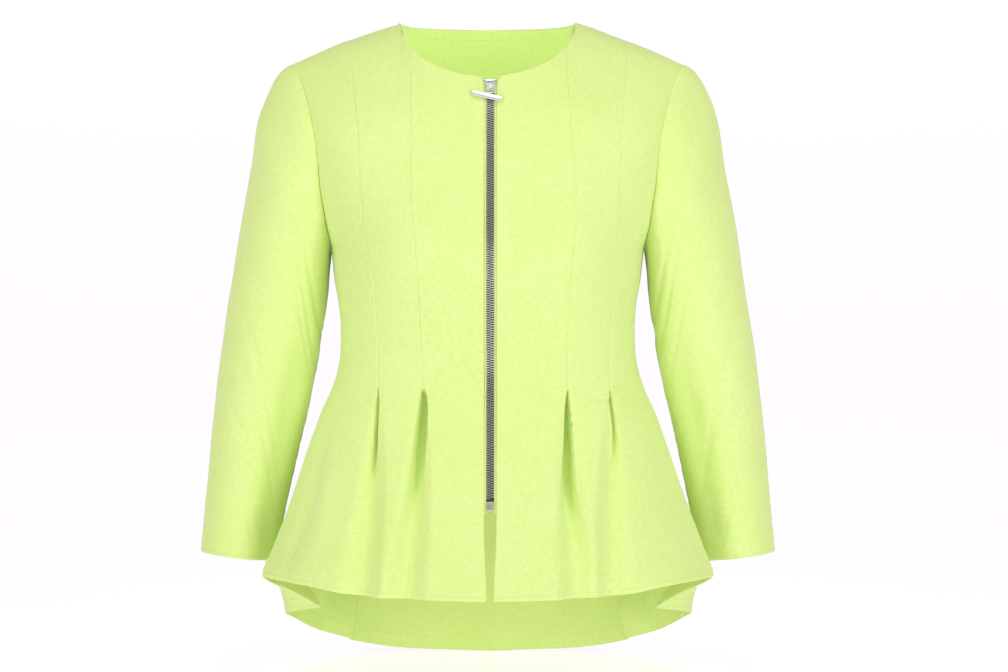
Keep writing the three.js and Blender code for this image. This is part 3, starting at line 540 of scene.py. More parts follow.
def torso_grid(left, right, is_back, count):
    ends = [float(ring_point(line["angle"][0], line["height"][0])[0]) for line in (left, right)]
    width = abs(ends[1] - ends[0])
    xs = ends[0] + np.sign(ends[1] - ends[0]) * column_offsets(count, width)
    for corner in (-NECK_HALF_WIDTH, NECK_HALF_WIDTH):
        if min(ends) < corner < max(ends):
            xs[np.argmin(np.abs(xs - corner))] = corner
    tops = top_height(xs, is_back)
    top_angles = angle_at(xs, tops, is_back)
    top_share = (top_angles - left["angle"][0]) / (right["angle"][0] - left["angle"][0])
    index = smooth_at(ROW_SHARES, np.arange(len(ROW_SHARES)), np.clip(ROWS, 0, 1))
    settle = soften(index / (len(ROW_SHARES) - 2))
    samples = np.linspace(0, 1, 81)
    sample_angle = mix(left["angle"][:, None], right["angle"][:, None], samples)
    sample_height = mix(left["height"][:, None], right["height"][:, None], samples)
    along = np.cumsum(length_of(np.diff(ring_point(sample_angle, sample_height), axis=1)), axis=1)
    along = np.concatenate([np.zeros((len(ROWS), 1)), along], axis=1)
    across = np.empty((len(ROWS), count + 1))
    for j, lengths in enumerate(along):
        spaced = np.interp(column_offsets(count, lengths[-1]), lengths, samples)
        across[j] = mix(top_share, spaced, settle[j])
    angle = mix(left["angle"][:, None], right["angle"][:, None], across)
    height = mix(left["height"][:, None], right["height"][:, None], across)
    upper = np.clip(ROWS, 0, 1)[:, None]
    straight_top = mix(left["height"][0], right["height"][0], top_share)
    height = height + (tops - straight_top) * (1 - upper)
    lower = np.clip(ROWS - 2, 0, 1)[:, None] ** LOWER_POWER
    hem_angle = mix(left["angle"][-1], right["angle"][-1], across)
    straight_hem = mix(left["height"][-1], right["height"][-1], across)
    height = height + (hem_height(hem_angle) - straight_hem) * lower
    return torso_point(angle, height, is_back)


# The outward direction at each point of a grid
def grid_normals(grid):
    across = np.gradient(grid, axis=1)
    down = np.gradient(grid, axis=0)
    return unit(np.cross(down, across))


# How far each point of a grid lies from its four edges, along the cloth.
def edge_distances(grid):
    across = np.cumsum(length_of(np.diff(grid, axis=1)), axis=1)
    down = np.cumsum(length_of(np.diff(grid, axis=0)), axis=0)
    left = np.concatenate([np.zeros((len(grid), 1)), across], axis=1)
    top = np.concatenate([np.zeros((1, grid.shape[1])), down], axis=0)
    return {"left": left, "right": left[:, -1:] - left, "top": top, "hem": top[-1:] - top}


# Cloth details: how far the surface moves out, in millimetres

SEAM = {"depth": 0.55, "width": 1.8, "pucker": 0.2, "reach": 9}
FOLDED_EDGE = {"depth": 0.55, "width": 1.3}
STITCH_GROOVE = {"depth": 0.35, "width": 0.8}
FRONT_HEM_STITCH = 5.0
BACK_HEM_STITCH = 13.0
CUFF_STITCH = 3.6
HEM_STITCH = {"pitch": 3.2, "length": 2.3, "radius": 0.22, "lift": 0.05}
SLEEVE_STITCH = {"pitch": 3.0, "length": 2.1, "radius": 0.2, "lift": 0.05}


def seam_relief(distance, along, phase, share=1.0):
    roll = SEAM["depth"] * np.clip(1 - distance / SEAM["width"], 0, 1) ** 2
    wave = np.sin(along / 1.7 + phase) * np.sin(along / 5.3 + 2 * phase) + 0.6 * np.sin(along / 2.9)
    pucker = SEAM["pucker"] * wave * np.exp(-distance / SEAM["reach"] * 2)
    return share * (pucker - roll)


# A seam shows less where it lies in the fold of a pleat.
def seam_share(height):
    return mix(1.0, 0.12, soften((PLEAT_TOP - height) / 40))


# The armhole seams are pressed flatter than the others.
ARMHOLE_SHARE = 0.3


def edge_relief(distance):
    return -FOLDED_EDGE["depth"] * np.clip(1 - distance / FOLDED_EDGE["width"], 0, 1) ** 2


def groove(distance, at):
    return -STITCH_GROOVE["depth"] * np.exp(-(((distance - at) / STITCH_GROOVE["width"]) ** 2))


# Slow unevenness of worn cloth
def drape(grid, phase):
    x, y, z = (grid[..., k] for k in range(3))
    waves = [
        (0.45, 0.031, 0.017, 0.7),
        (0.30, -0.044, 0.029, 2.1),
        (0.22, 0.072, -0.038, 4.0),
        (0.14, 0.11, 0.083, 1.3),
    ]
    return sum(a * np.sin(kx * (x + 0.6 * y) + kz * z + p + phase) for a, kx, kz, p in waves)


# Soft creases on the front and back, as seen from that side: a line, its width and how far it stands out.
CREASES = [
    (
        "front",
        [(-160, -412), (-165, -432), (-169, -450), (-176, -480), (-186, -508), (-196, -540), (-208, -590)],
        5.5,
        -4.2,
    ),
    ("front", [(-146, -420), (-156, -460), (-163, -500), (-178, -550)], 9, 2.0),
    ("front", [(100, -372), (112, -374), (124, -379)], 2.2, -0.9),
    ("front", [(120, -430), (126, -452), (124, -476)], 8, -1.6),
    ("front", [(-150, -246), (-128, -262), (-96, -268)], 8, -0.8),
    ("front", [(150, -246), (132, -264), (100, -272)], 8, -0.8),
    ("front", [(-144, -318), (-118, -326), (-84, -322)], 7, -0.7),
    ("front", [(144, -330), (120, -334), (92, -328)], 7, -0.7),
    ("front", [(-142, -346), (-112, -350), (-78, -345)], 5, -0.6),
    ("back", [(-150, -250), (-120, -268), (-84, -262)], 9, -1.0),
    ("back", [(150, -252), (122, -266), (80, -270)], 9, -1.0),
    ("back", [(-140, -330), (-96, -340), (-40, -336)], 7, -1.0),
    ("back", [(138, -322), (90, -336), (30, -330)], 7, -0.9),
    ("back", [(-60, -350), (0, -356), (62, -349)], 6, -0.7),
    ("back", [(-52, -420), (-60, -500), (-72, -600)], 16, -3.0),
    ("back", [(46, -430), (50, -520), (60, -610)], 16, -3.0),
    ("back", [(-4, -440), (-6, -520), (-12, -620)], 20, 2.0),
]


def line_distance(points, line):
    nearest = np.full(points.shape[:-1], np.inf)
    place = np.zeros(points.shape[:-1])
    for k, (start, end) in enumerate(zip(line[:-1], line[1:])):
        start, end = np.array(start, float), np.array(end, float)
        run = end - start
        share = np.clip(((points - start) @ run) / (run @ run), 0, 1)
        distance = length_of(points - start - share[..., None] * run)
        closer = distance < nearest
        place = np.where(closer, (k + share) / (len(line) - 1), place)
        nearest = np.where(closer, distance, nearest)
    return nearest, place


def creases(grid, where):
    flat = grid[..., [0, 2]]
    out = np.zeros(grid.shape[:-1])
    for side, line, width, rise in CREASES:
        if side != where:
            continue
        distance, place = line_distance(flat, line)
        fade = np.clip(np.sin(np.pi * np.clip(place, 0.02, 0.98)), 0, 1) ** 0.7
        out += rise * fade * np.exp(-((distance / width) ** 2))
    return out


# Sleeve creases: the turn round the sleeve (0 top, 90 front, 180 underarm), the place down it, their
# sizes in degrees and millimetres, how much the crease slants, and how far it stands out. The last
# three are broad and shape the sleeve's inner side.
SLEEVE_CREASES = table(
    ["turn", "down", "turnSize", "downSize", "slant", "rise"],
    [
        [150, 70, 40, 7, 0.5, -2.4],
        [140, 96, 44, 6, 0.6, -1.9],
        [132, 122, 40, 6, 0.5, -1.3],
        [-150, 74, 40, 7, -0.5, -2.4],
        [-138, 104, 44, 6, -0.5, -1.9],
        [95, 236, 36, 8, 0.35, -1.5],
        [110, 262, 40, 7, 0.2, -1.4],
        [70, 300, 36, 8, -0.2, -1.0],
        [-100, 240, 40, 8, -0.3, -1.7],
        [-80, 286, 44, 8, 0.25, -1.3],
        [110, 350, 40, 8, 0.3, -0.9],
        [-110, 356, 44, 8, -0.2, -0.9],
        [60, 180, 30, 12, 0.3, -0.7],
        [20, 60, 24, 18, 0.1, 0.8],
        [133, 350, 24, 150, 0, -8.5],
        [136, 190, 24, 80, 0, -4.5],
        [180, 400, 24, 110, 0, 4],
        [-150, 330, 34, 130, 0, -3.0],
    ],
)


def sleeve_creases(turns, down, side):
    out = np.zeros(down.shape)
    names = ["turn", "down", "turnSize", "downSize", "slant", "rise"]
    for turn, place, turn_size, down_size, slant, rise in zip(*(SLEEVE_CREASES[n] for n in names)):
        shift = 9 * side * math.sin(turn * 0.7 + place)
        around = (turns - turn + 4 * side + 180) % 360 - 180
        along = down - place - shift - slant * around
        out += rise * np.exp(-((around / turn_size) ** 2) - (along / down_size) ** 2)
    return out


# Meshes

def mesh_object(name, points, faces, material, body="garment", smooth=True):
    mesh = bpy.data.meshes.new(name)
    mesh.from_pydata((np.asarray(points) * MM).tolist(), [], [tuple(face) for face in faces])
    mesh.polygons.foreach_set("use_smooth", [smooth] * len(mesh.polygons))
    mesh.update()
    made = bpy.data.objects.new(name, mesh)
    bpy.context.collection.objects.link(made)
    made.data.materials.append(material)
    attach(made, body)
    return made


# A wall whose outer face is the grid, with rounded edges.
def shell(name, outer, wall, material, normals=None):
    normals = grid_normals(outer) if normals is None else normals
    inner = outer - normals * wall
    rows, columns = outer.shape[:2]
    count = rows * columns
    index = np.arange(count).reshape(rows, columns)
    top, bottom, left, right = index[0], index[-1], index[:, 0], index[:, -1]
    loop = np.concatenate([left, bottom[1:], right[::-1][1:], top[::-1][1:-1]])
    flat_outer = outer.reshape(-1, 3)
    flat_inner = inner.reshape(-1, 3)
    outwards = np.zeros((rows, columns, 3))
    outwards[:, 0] += unit(outer[:, 0] - outer[:, 1])
    outwards[:, -1] += unit(outer[:, -1] - outer[:, -2])
    outwards[0] += unit(outer[0] - outer[1])
    outwards[-1] += unit(outer[-1] - outer[-2])
    bulge = unit(outwards.reshape(-1, 3)[loop]) * wall * 0.3
    rim = (flat_outer[loop] + flat_inner[loop]) / 2 + bulge
    a, b = index[:-1, :-1].ravel(), index[1:, :-1].ravel()
    c, d = index[1:, 1:].ravel(), index[:-1, 1:].ravel()
    faces = [np.stack([a, b, c, d], axis=1), np.stack([a, d, c, b], axis=1) + count]
    after = np.roll(loop, -1)
    rim_index = 2 * count + np.arange(len(loop))
    rim_after = np.roll(rim_index, -1)
    faces.append(np.stack([loop, rim_index, rim_after, after], axis=1))
    faces.append(np.stack([rim_index, loop + count, after + count, rim_after], axis=1))
    points = np.concatenate([flat_outer, flat_inner, rim])
    return mesh_object(name, points, np.concatenate(faces).tolist(), material)


# Points along a grid where a distance array reaches a value, with the outward direction there.
def contour(grid, distance, value):
    normals = grid_normals(grid)
    points, outs = [], []
    for i in range(grid.shape[1]):
        order = np.argsort(distance[:, i])
        d = distance[order, i]
        points.append([np.interp(value, d, grid[order, i, k]) for k in range(3)])
        outs.append([np.interp(value, d, normals[order, i, k]) for k in range(3)])
    return np.array(points), unit(np.array(outs))


# A row of stitches along a line on the cloth
def stitch_row(line, outs, pitch, length, radius, lift):
    steps = np.concatenate([[0], np.cumsum(length_of(np.diff(line, axis=0)))])
    count = int(steps[-1] // pitch)
    sides, rings = 6, 5
    points, faces = [], []
    for n in range(count):
        start = (n + 0.5) * pitch - length / 2
        base = len(points)
        at = start + length * np.linspace(0, 1, rings)
        centre = np.stack([np.interp(at, steps, line[:, k]) for k in range(3)], axis=1)
        out = unit(np.stack([np.interp(at, steps, outs[:, k]) for k in range(3)], axis=1))
        along = unit(centre[-1:] - centre[:1])
        across = unit(np.cross(out, along))
        swell = np.sqrt(np.clip(1 - np.linspace(-1, 1, rings) ** 2, 0.04, 1))
        for r in range(rings):
            for k in range(sides):
                turn = 2 * np.pi * k / sides
                around = np.cos(turn) * across[r] + np.sin(turn) * out[r]
                points.append(centre[r] + out[r] * lift * swell[r] + around * radius * swell[r])
        for r in range(rings - 1):
            for k in range(sides):
                a = base + r * sides + k
                b = base + r * sides + (k + 1) % sides
                faces.append((a, b, b + sides, a + sides))
        faces.append(tuple(base + k for k in range(sides))[::-1])
        faces.append(tuple(base + (rings - 1) * sides + k for k in range(sides)))
    return points, faces


# One mesh from several parts, each a list of points and a list of faces
def joined_rows(name, rows, material, body="garment"):
    points, faces = [], []
    for row_points, row_faces in rows:
        shift = len(points)
        points.extend(row_points)
        faces.extend(tuple(k + shift for k in face) for face in row_faces)
    return mesh_object(name, points, faces, material, body)


# Materials

def srgb(r, g, b):
    def linear(v):
        v /= 255
        return v / 12.92 if v <= 0.04045 else ((v + 0.055) / 1.055) ** 2.4
    return (linear(r), linear(g), linear(b), 1)


def new_material(name):
    material = bpy.data.materials.new(name)
    material.use_nodes = True
    tree = material.node_tree
    shader = next(n for n in tree.nodes if n.type == "BSDF_PRINCIPLED")
    return material, tree, shader


def node(tree, kind, **values):
    made = tree.nodes.new(kind)
    for key, value in values.items():
        if key in made.inputs:
            made.inputs[key].default_value = value
        else:
            setattr(made, key, value)
    return made


def sum_of(tree, first, second, share):
    made = node(tree, "ShaderNodeMath", operation="MULTIPLY_ADD")
    tree.links.new(second, made.inputs[0])
    made.inputs[1].default_value = share
    tree.links.new(first, made.inputs[2])
    return made.outputs[0]


# Crepe: fine pebbles in the bump, and a faint grain and slow drift in the colour.
def crepe(name, colour, deep, grain=850, relief=0.00035):
    material, tree, shader = new_material(name)
    place = node(tree, "ShaderNodeTexCoord").outputs["Object"]
    pebbles = node(tree, "ShaderNodeTexVoronoi", Scale=grain)
    fine = node(tree, "ShaderNodeTexNoise", Scale=grain * 1.1, Detail=3.0, Roughness=0.6)
    wide = node(tree, "ShaderNodeTexNoise", Scale=grain * 0.3, Detail=2.0)
    slow = node(tree, "ShaderNodeTexNoise", Scale=9.0, Detail=2.0)
    for texture in (pebbles, fine, wide, slow):
        tree.links.new(place, texture.inputs["Vector"])
    height = sum_of(tree, fine.outputs["Fac"], pebbles.outputs["Distance"], 0.8)
    height = sum_of(tree, height, wide.outputs["Fac"], 1.5)
    bump = node(tree, "ShaderNodeBump", Strength=0.42, Distance=relief)
    tree.links.new(height, bump.inputs["Height"])
    tree.links.new(bump.outputs["Normal"], shader.inputs["Normal"])
    tone = sum_of(tree, wide.outputs["Fac"], slow.outputs["Fac"], 0.5)
    tone = sum_of(tree, tone, fine.outputs["Fac"], 0.5)
    ramp = node(tree, "ShaderNodeMapRange", **{"From Min": 0.75, "From Max": 1.25})
    tree.links.new(tone, ramp.inputs["Value"])
    blend = node(tree, "ShaderNodeMix", data_type="RGBA")
    blend.inputs[6].default_value = deep
    blend.inputs[7].default_value = colour
    tree.links.new(ramp.outputs["Result"], blend.inputs[0])
    tree.links.new(blend.outputs[2], shader.inputs["Base Color"])
    shader.inputs["Roughness"].default_value = 0.86
    shader.inputs["Specular IOR Level"].default_value = 0.25
    shader.inputs["Sheen Weight"].default_value = 0.35
    shader.inputs["Sheen Roughness"].default_value = 0.45
    shader.inputs["Sheen Tint"].default_value = (1, 1, 0.85, 1)
    return material


# Woven tape: crossed ribs in the bump and colour.
def woven(name, colour, deep):
    material, tree, shader = new_material(name)
    place = node(tree, "ShaderNodeTexCoord").outputs["Object"]
    up = node(tree, "ShaderNodeTexWave", bands_direction="Z", Scale=560.0, Distortion=0.6)
    over = node(tree, "ShaderNodeTexWave", bands_direction="X", Scale=430.0, Distortion=0.6)
    for texture in (up, over):
        tree.links.new(place, texture.inputs["Vector"])
    height = sum_of(tree, up.outputs["Fac"], over.outputs["Fac"], 1.0)
    bump = node(tree, "ShaderNodeBump", Strength=0.6, Distance=0.0003)
    tree.links.new(height, bump.inputs["Height"])
    tree.links.new(bump.outputs["Normal"], shader.inputs["Normal"])
    blend = node(tree, "ShaderNodeMix", data_type="RGBA")
    blend.inputs[6].default_value = deep
    blend.inputs[7].default_value = colour
    tree.links.new(over.outputs["Fac"], blend.inputs[0])
    tree.links.new(blend.outputs[2], shader.inputs["Base Color"])
    shader.inputs["Roughness"].default_value = 0.7
    shader.inputs["Specular IOR Level"].default_value = 0.3
    return material


def metal(name, colour, roughness, scratch=0.08):
    material, tree, shader = new_material(name)
    place = node(tree, "ShaderNodeTexCoord").outputs["Object"]
    wear = node(tree, "ShaderNodeTexNoise", Scale=1400.0, Detail=4.0)
    tree.links.new(place, wear.inputs["Vector"])
    spread = node(
        tree,
        "ShaderNodeMapRange",
        **{"To Min": max(0.02, roughness - scratch), "To Max": roughness + scratch},
    )
    tree.links.new(wear.outputs["Fac"], spread.inputs["Value"])
    tree.links.new(spread.outputs["Result"], shader.inputs["Roughness"])
    shader.inputs["Base Color"].default_value = colour
    shader.inputs["Metallic"].default_value = 1
    return material


CLOTH = crepe("lime_crepe", srgb(225, 242, 152), srgb(217, 237, 138))
FACING = crepe("facing_crepe", srgb(224, 242, 150), srgb(216, 236, 138))
THREAD = crepe("lime_thread", srgb(222, 240, 142), srgb(200, 222, 116), grain=2400, relief=0.0001)
TAPE_CLOTH = woven("zip_tape_weave", srgb(232, 246, 168), srgb(214, 234, 146))
# The dark olive colours on the next line are painted shade for the gaps between the zip teeth.
GAP_SHADE_WEAVE = woven("zip_gap_shade_weave", srgb(88, 88, 48), srgb(60, 60, 32))
TEETH = metal("zip_teeth_metal", (0.66, 0.64, 0.54, 1), 0.34)
SILVER = metal("zip_silver", (0.93, 0.93, 0.92, 1), 0.3)


# Cloth panels

def front_seam(name):
    return seam_line(lambda z: smooth_at(FRONT_SEAMS["height"], FRONT_SEAMS[name], z), False)


def back_seam(side):
    return seam_line(lambda z: side * smooth_at(BACK_SEAM["height"], BACK_SEAM["fromMiddle"], z), True)


def zip_edge(side):
    return seam_line(
        lambda z: ZIP_MIDDLE + side * smooth_at(ZIP_OPENING["height"], ZIP_OPENING["halfGap"], z), False
    )


LINES = {
    "rightArm": side_line(-1, False),
    "rightSide": front_seam("rightSide"),
    "rightMiddle": front_seam("rightMiddle"),
    "rightZip": zip_edge(-1),
    "leftZip": zip_edge(1),
    "leftMiddle": front_seam("leftMiddle"),
    "leftSide": front_seam("leftSide"),
    "leftArm": side_line(1, False),
    "leftArmBack": side_line(1, True),
    "backLeft": back_seam(1),
    "backRight": back_seam(-1),
    "rightArmBack": side_line(-1, True),
}

# Each panel's edges, its number of columns, and its flat cut: width, length and area in metres.
PANELS = [
    ("front_side_R", "rightArm", "rightSide", 66, 0.175, 0.545, 0.062),
    ("front_middle_R", "rightSide", "rightMiddle", 48, 0.080, 0.580, 0.035),
    ("front_centre_R", "rightMiddle", "rightZip", 54, 0.100, 0.530, 0.039),
    ("front_centre_L", "leftZip", "leftMiddle", 54, 0.105, 0.530, 0.043),
    ("front_middle_L", "leftMiddle", "leftSide", 46, 0.075, 0.580, 0.033),
    ("front_side_L", "leftSide", "leftArm", 64, 0.175, 0.545, 0.057),
    ("back_side_L", "leftArmBack", "backLeft", 60, 0.200, 0.610, 0.072),
    ("back_centre", "backLeft", "backRight", 104, 0.330, 0.660, 0.168),
    ("back_side_R", "backRight", "rightArmBack", 60, 0.200, 0.610, 0.072),
]

grids = {}
stitches = []
for number, (name, left, right, columns, flat_width, flat_length, area) in enumerate(PANELS):
    is_back = name.startswith("back")
    grid = torso_grid(LINES[left], LINES[right], is_back, columns)
    normals = grid_normals(grid)
    gaps = edge_distances(grid)
    z = grid[..., 2]
    relief = drape(grid, 0.8 * number) + creases(grid, "back" if is_back else "front")
    relief = relief * np.clip(gaps["hem"] / 25, 0.5, 1)
    beside = {"left": left, "right": right}
    for edge, line in beside.items():
        if line.endswith("Zip"):
            relief = relief + edge_relief(gaps[edge])
        else:
            share = seam_share(z)
            if "Arm" in line:
                share = share * np.where(z > UNDERARM, ARMHOLE_SHARE, 1)
            relief = relief + seam_relief(gaps[edge], z, number + len(line), share)
    relief = relief + edge_relief(gaps["top"]) + edge_relief(gaps["hem"])
    hem_stitch = BACK_HEM_STITCH if is_back else FRONT_HEM_STITCH
    relief = relief + groove(gaps["hem"], hem_stitch)
    grids[name] = grid + normals * relief[..., None]

# Panels that meet at a seam share the outward direction there, so that their inner faces meet too.
panel_normals = {name: grid_normals(grid) for name, grid in grids.items()}
below_arm = ROWS >= 1
for number, (name, left, right, *_) in enumerate(PANELS):
    after = PANELS[(number + 1) % len(PANELS)][0]
    rows = below_arm if right.endswith(("Arm", "ArmBack")) else ROWS >= 0
    if right.endswith("Zip"):
        continue
    shared = unit(panel_normals[name][rows, -1] + panel_normals[after][rows, 0])
    panel_normals[name][rows, -1] = shared
    panel_normals[after][rows, 0] = shared

for name, left, right, columns, flat_width, flat_length, area in PANELS:
    is_back = name.startswith("back")
    shaped = grids[name]
    gaps = edge_distances(shaped)
    hem_stitch = BACK_HEM_STITCH if is_back else FRONT_HEM_STITCH
    panel = shell(name, shaped, WALL, CLOTH, panel_normals[name])
    panel.name = f"{name}_cloth"
    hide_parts(name)
    line, outs = contour(shaped, gaps["hem"], hem_stitch)
    stitches.append(stitch_row(line, outs, **HEM_STITCH))

# Sleeves, their columns from the underarm up the front, over the shoulder and down the back

def sleeve_grid():
    upper = ROWS[ROWS <= 1]
    loops = []
    for is_back in (False, True):
        line = side_line(1, is_back)
        keep = ROWS <= 1
        loops.append(torso_point(line["angle"][keep], line["height"][keep], is_back))
    loop = np.concatenate([loops[0][::-1], loops[1][1:]])
    steps = np.concatenate([[0], np.cumsum(length_of(np.diff(loop, axis=0)))])
    shoulder = len(upper) - 1
    front_share = steps / steps[shoulder]
    back_share = (steps - steps[shoulder]) / (steps[-1] - steps[shoulder])
    is_front = np.arange(len(loop)) <= shoulder
    turns = np.where(is_front, 180 * (1 - front_share), -180 * back_share)
    places = np.arange(len(SLEEVE["topX"]))

    def at(name, k):
        return smooth_at(places, SLEEVE[name], k)[:, None]

    def section(k):
        reach = np.cos(np.radians(turns)) / 2
        middle_x, middle_z = (at("topX", k) + at("underX", k)) / 2, (at("topZ", k) + at("underZ", k)) / 2
        x = middle_x + (at("topX", k) - at("underX", k)) * reach
        z = middle_z + (at("topZ", k) - at("underZ", k)) * reach
        y = at("middleY", k) - at("halfDepth", k) * np.sin(np.radians(turns))
        return np.stack([x, y, z], axis=-1)

    edge = np.array([0, 0.06, 0.13, 0.22])
    cuff = 12 - np.array([8, 7, 6, 5.2, 4.4, 3.6, 2.8, 2, 1.3, 0.7, 0.3, 0]) / 42
    rows = np.concatenate([edge, np.linspace(0.32, cuff[0], SLEEVE_ROWS)[:-1], cuff])
    from_armhole = loop - section(np.array([0.0]))[0]
    grid = section(rows) + at("armholeShare", rows)[..., None] * from_armhole
    return grid, turns


sleeve_base, sleeve_turns = sleeve_grid()
for suffix, side in (("R", -1), ("L", 1)):
    grid, turns = sleeve_base.copy(), sleeve_turns
    if side < 0:
        grid[..., 0] *= -1
        grid, turns = grid[:, ::-1], turns[::-1]
    normals = grid_normals(grid)
    gaps = edge_distances(grid)
    relief = drape(grid, 3 + side) + sleeve_creases(turns[None, :], gaps["top"], side)
    relief = relief * soften(gaps["top"] / 30) * np.clip(gaps["hem"] / 30, 0.4, 1)
    around = np.cumsum(length_of(np.diff(grid, axis=1, prepend=grid[:, :1])), axis=1)
    relief = relief + seam_relief(gaps["top"], around, side, ARMHOLE_SHARE)
    relief = relief + edge_relief(gaps["hem"]) + groove(gaps["hem"], CUFF_STITCH)
    for edge in ("left", "right"):
        relief = relief + seam_relief(gaps[edge], grid[..., 2], 2 * side)
    shaped = grid + normals * relief[..., None]
    name = f"sleeve_{suffix}"
    sleeve = shell(name, shaped, WALL, CLOTH)
    sleeve.name = f"{name}_cloth"
    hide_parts(name)
    line, outs = contour(shaped, gaps["hem"], CUFF_STITCH)
    stitches.append(stitch_row(line, outs, **SLEEVE_STITCH))

sewing = joined_rows("hem_stitches", stitches, THREAD)

# The band that faces the inside of the back neck

FACING_HALF_LENGTH = 85.5
FACING_DEPTH = 9.2
FACING_WALL = 0.6
FACING_GAP = 0.15


def facing_grid():
    xs = np.linspace(FACING_HALF_LENGTH, -FACING_HALF_LENGTH, 60)
    down = np.array([0, 0.35, 0.9, 1.6, 2.4, 3.4, 4.6, 5.8, 6.8, 7.6, 8.2, 8.7, FACING_DEPTH])
    top = neck_height(xs, True)
    height = top[None, :] - down[:, None]
    return torso_point(angle_at(xs[None, :], height, True), height, True)


facing = facing_grid()
facing_out = grid_normals(facing)
facing = facing - facing_out * (WALL + FACING_GAP)
facing_gaps = edge_distances(facing)
facing_relief = 0.25 * np.clip(1 - facing_gaps["hem"] / 1.2, 0, 1) ** 2
facing = facing + facing_out * facing_relief[..., None]
band = shell("facing", facing, FACING_WALL, FACING)
band.name = "back_neck_facing_cloth"
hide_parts("back_neck_facing")

# Zip

def front_point(x, height, depth=0.0):
    step = 0.5

    def at(px, pz):
        return ring_point(angle_at(np.asarray(px, float), np.asarray(pz, float), False), pz)

    across = at(x + step, height) - at(x - step, height)
    down = at(x, height - step) - at(x, height + step)
    inward = unit(np.cross(across, down))
    inward = inward * np.where(inward[..., 1:2] < 0, -1, 1)
    return at(x, height) + inward * depth


def zip_frame(height):
    place = front_point(np.array([ZIP_MIDDLE]), np.array([float(height)]))[0]
    behind = front_point(np.array([ZIP_MIDDLE]), np.array([float(height)]), 1.0)[0]
    out = place - behind
    out[0] = 0
    out = out / np.linalg.norm(out)
    side = np.array([-1.0, 0, 0])
    return place, np.stack([side, out, np.cross(side, out)])


def placed(points, height, shift=(0, 0, 0)):
    place, axes = zip_frame(height)
    return place + (np.asarray(points, float) + np.array(shift, float)) @ axes


def tape(side):
    heights = np.linspace(TAPE["top"], TAPE["bottom"], 150)
    gap = smooth_at(ZIP_OPENING["height"], ZIP_OPENING["halfGap"], heights)
    reaches = np.linspace(0, 1, 9)
    inner = CHAIN["halfWidth"] + 0.05
    offsets = inner + (gap[:, None] + TAPE["reach"] - inner) * reaches[None, :]
    xs = ZIP_MIDDLE + side * offsets
    under = soften((offsets - gap[:, None] + 1.0) / 2.0)
    depth = mix(0.9, WALL + 0.35, under)[..., None]
    grid = front_point(xs, np.broadcast_to(heights[:, None], xs.shape), depth)
    if side < 0:
        grid = grid[:, ::-1]
    return shell(f"tape_{side}", grid, TAPE["wall"], TAPE_CLOTH)


for suffix, side in (("R", -1), ("L", 1)):
    strip = tape(side)
    strip.name = f"zip_tape_{suffix}_weave"
    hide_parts(f"zip_tape_{suffix}")


# A box with cut corners and edges, given by its half sizes
def cut_box(half, bevel):
    half = np.array(half, float)
    points, faces = [], []
    keys = {}
    for sx in (-1, 1):
        for sy in (-1, 1):
            for sz in (-1, 1):
                for axis in range(3):
                    place = half - bevel
                    place[axis] = half[axis]
                    keys[(sx, sy, sz, axis)] = len(points)
                    points.append(place * np.array([sx, sy, sz]))
    signs = [(1, 1), (-1, 1), (-1, -1), (1, -1)]

    def key(axis_signs, axis):
        return keys[(axis_signs[0], axis_signs[1], axis_signs[2], axis)]

    for axis in range(3):
        u, v = (axis + 1) % 3, (axis + 2) % 3
        for sign in (-1, 1):
            loop = []
            for su, sv in signs if sign > 0 else signs[::-1]:
                corner = [0, 0, 0]
                corner[axis], corner[u], corner[v] = sign, su, sv
                loop.append(key(corner, axis))
            faces.append(tuple(loop))
            for other in (-1, 1):
                pair = [0, 0, 0]
                pair[u], pair[v] = sign, other
                low, high = list(pair), list(pair)
                low[axis], high[axis] = -1, 1
                strip = [key(low, u), key(high, u), key(high, v), key(low, v)]
                faces.append(tuple(strip if sign * other > 0 else strip[::-1]))
    for sx in (-1, 1):
        for sy in (-1, 1):
            for sz in (-1, 1):
                loop = [key((sx, sy, sz), axis) for axis in range(3)]
                faces.append(tuple(loop if sx * sy * sz > 0 else loop[::-1]))
    return np.array(points), faces


def chain_rows():
    rows = []
    half_length = TOOTH["length"] / 2
    for side in (-1, 1):
        first = CHAIN["top"] - (0.5 if side > 0 else 0) * TOOTH["pitch"] - 1
        count = int((first - CHAIN["bottom"] - 1) // TOOTH["pitch"])
        for n in range(count):
            height = first - n * TOOTH["pitch"]
            sizes = [half_length, CHAIN["thickness"] / 2, TOOTH["height"] / 2]
            points, faces = cut_box(sizes, TOOTH["bevel"])
            head = np.clip(0.5 - points[:, 0] / (2 * half_length), 0, 1)
            points[:, 2] *= mix(0.8, 1.25, head)
            out = -CHAIN["depth"] - CHAIN["thickness"] / 2
            middle = [-side * (CHAIN["halfWidth"] - half_length), out, 0]
            points[:, 0] *= side
            if side < 0:
                faces = [face[::-1] for face in faces]
            rows.append((placed(points, height, middle), faces))
    return rows


# A dark strip behind the teeth. Its colour is painted shade for the gaps between them.
def gap_shade_strip():
    heights = np.linspace(CHAIN["top"], CHAIN["bottom"], 140)
    xs = ZIP_MIDDLE + np.linspace(-CHAIN["halfWidth"] + 0.3, CHAIN["halfWidth"] - 0.3, 7)
    grid = front_point(*np.broadcast_arrays(xs[None, :], heights[:, None]), CHAIN["depth"] + 0.75)
    return shell("zip_gap_shade", grid, 0.6, GAP_SHADE_WEAVE)


gap_shade = gap_shade_strip()
chain = joined_rows("zip_teeth", chain_rows(), TEETH)
for polygon in chain.data.polygons:
    polygon.use_smooth = False
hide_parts("zip_chain")


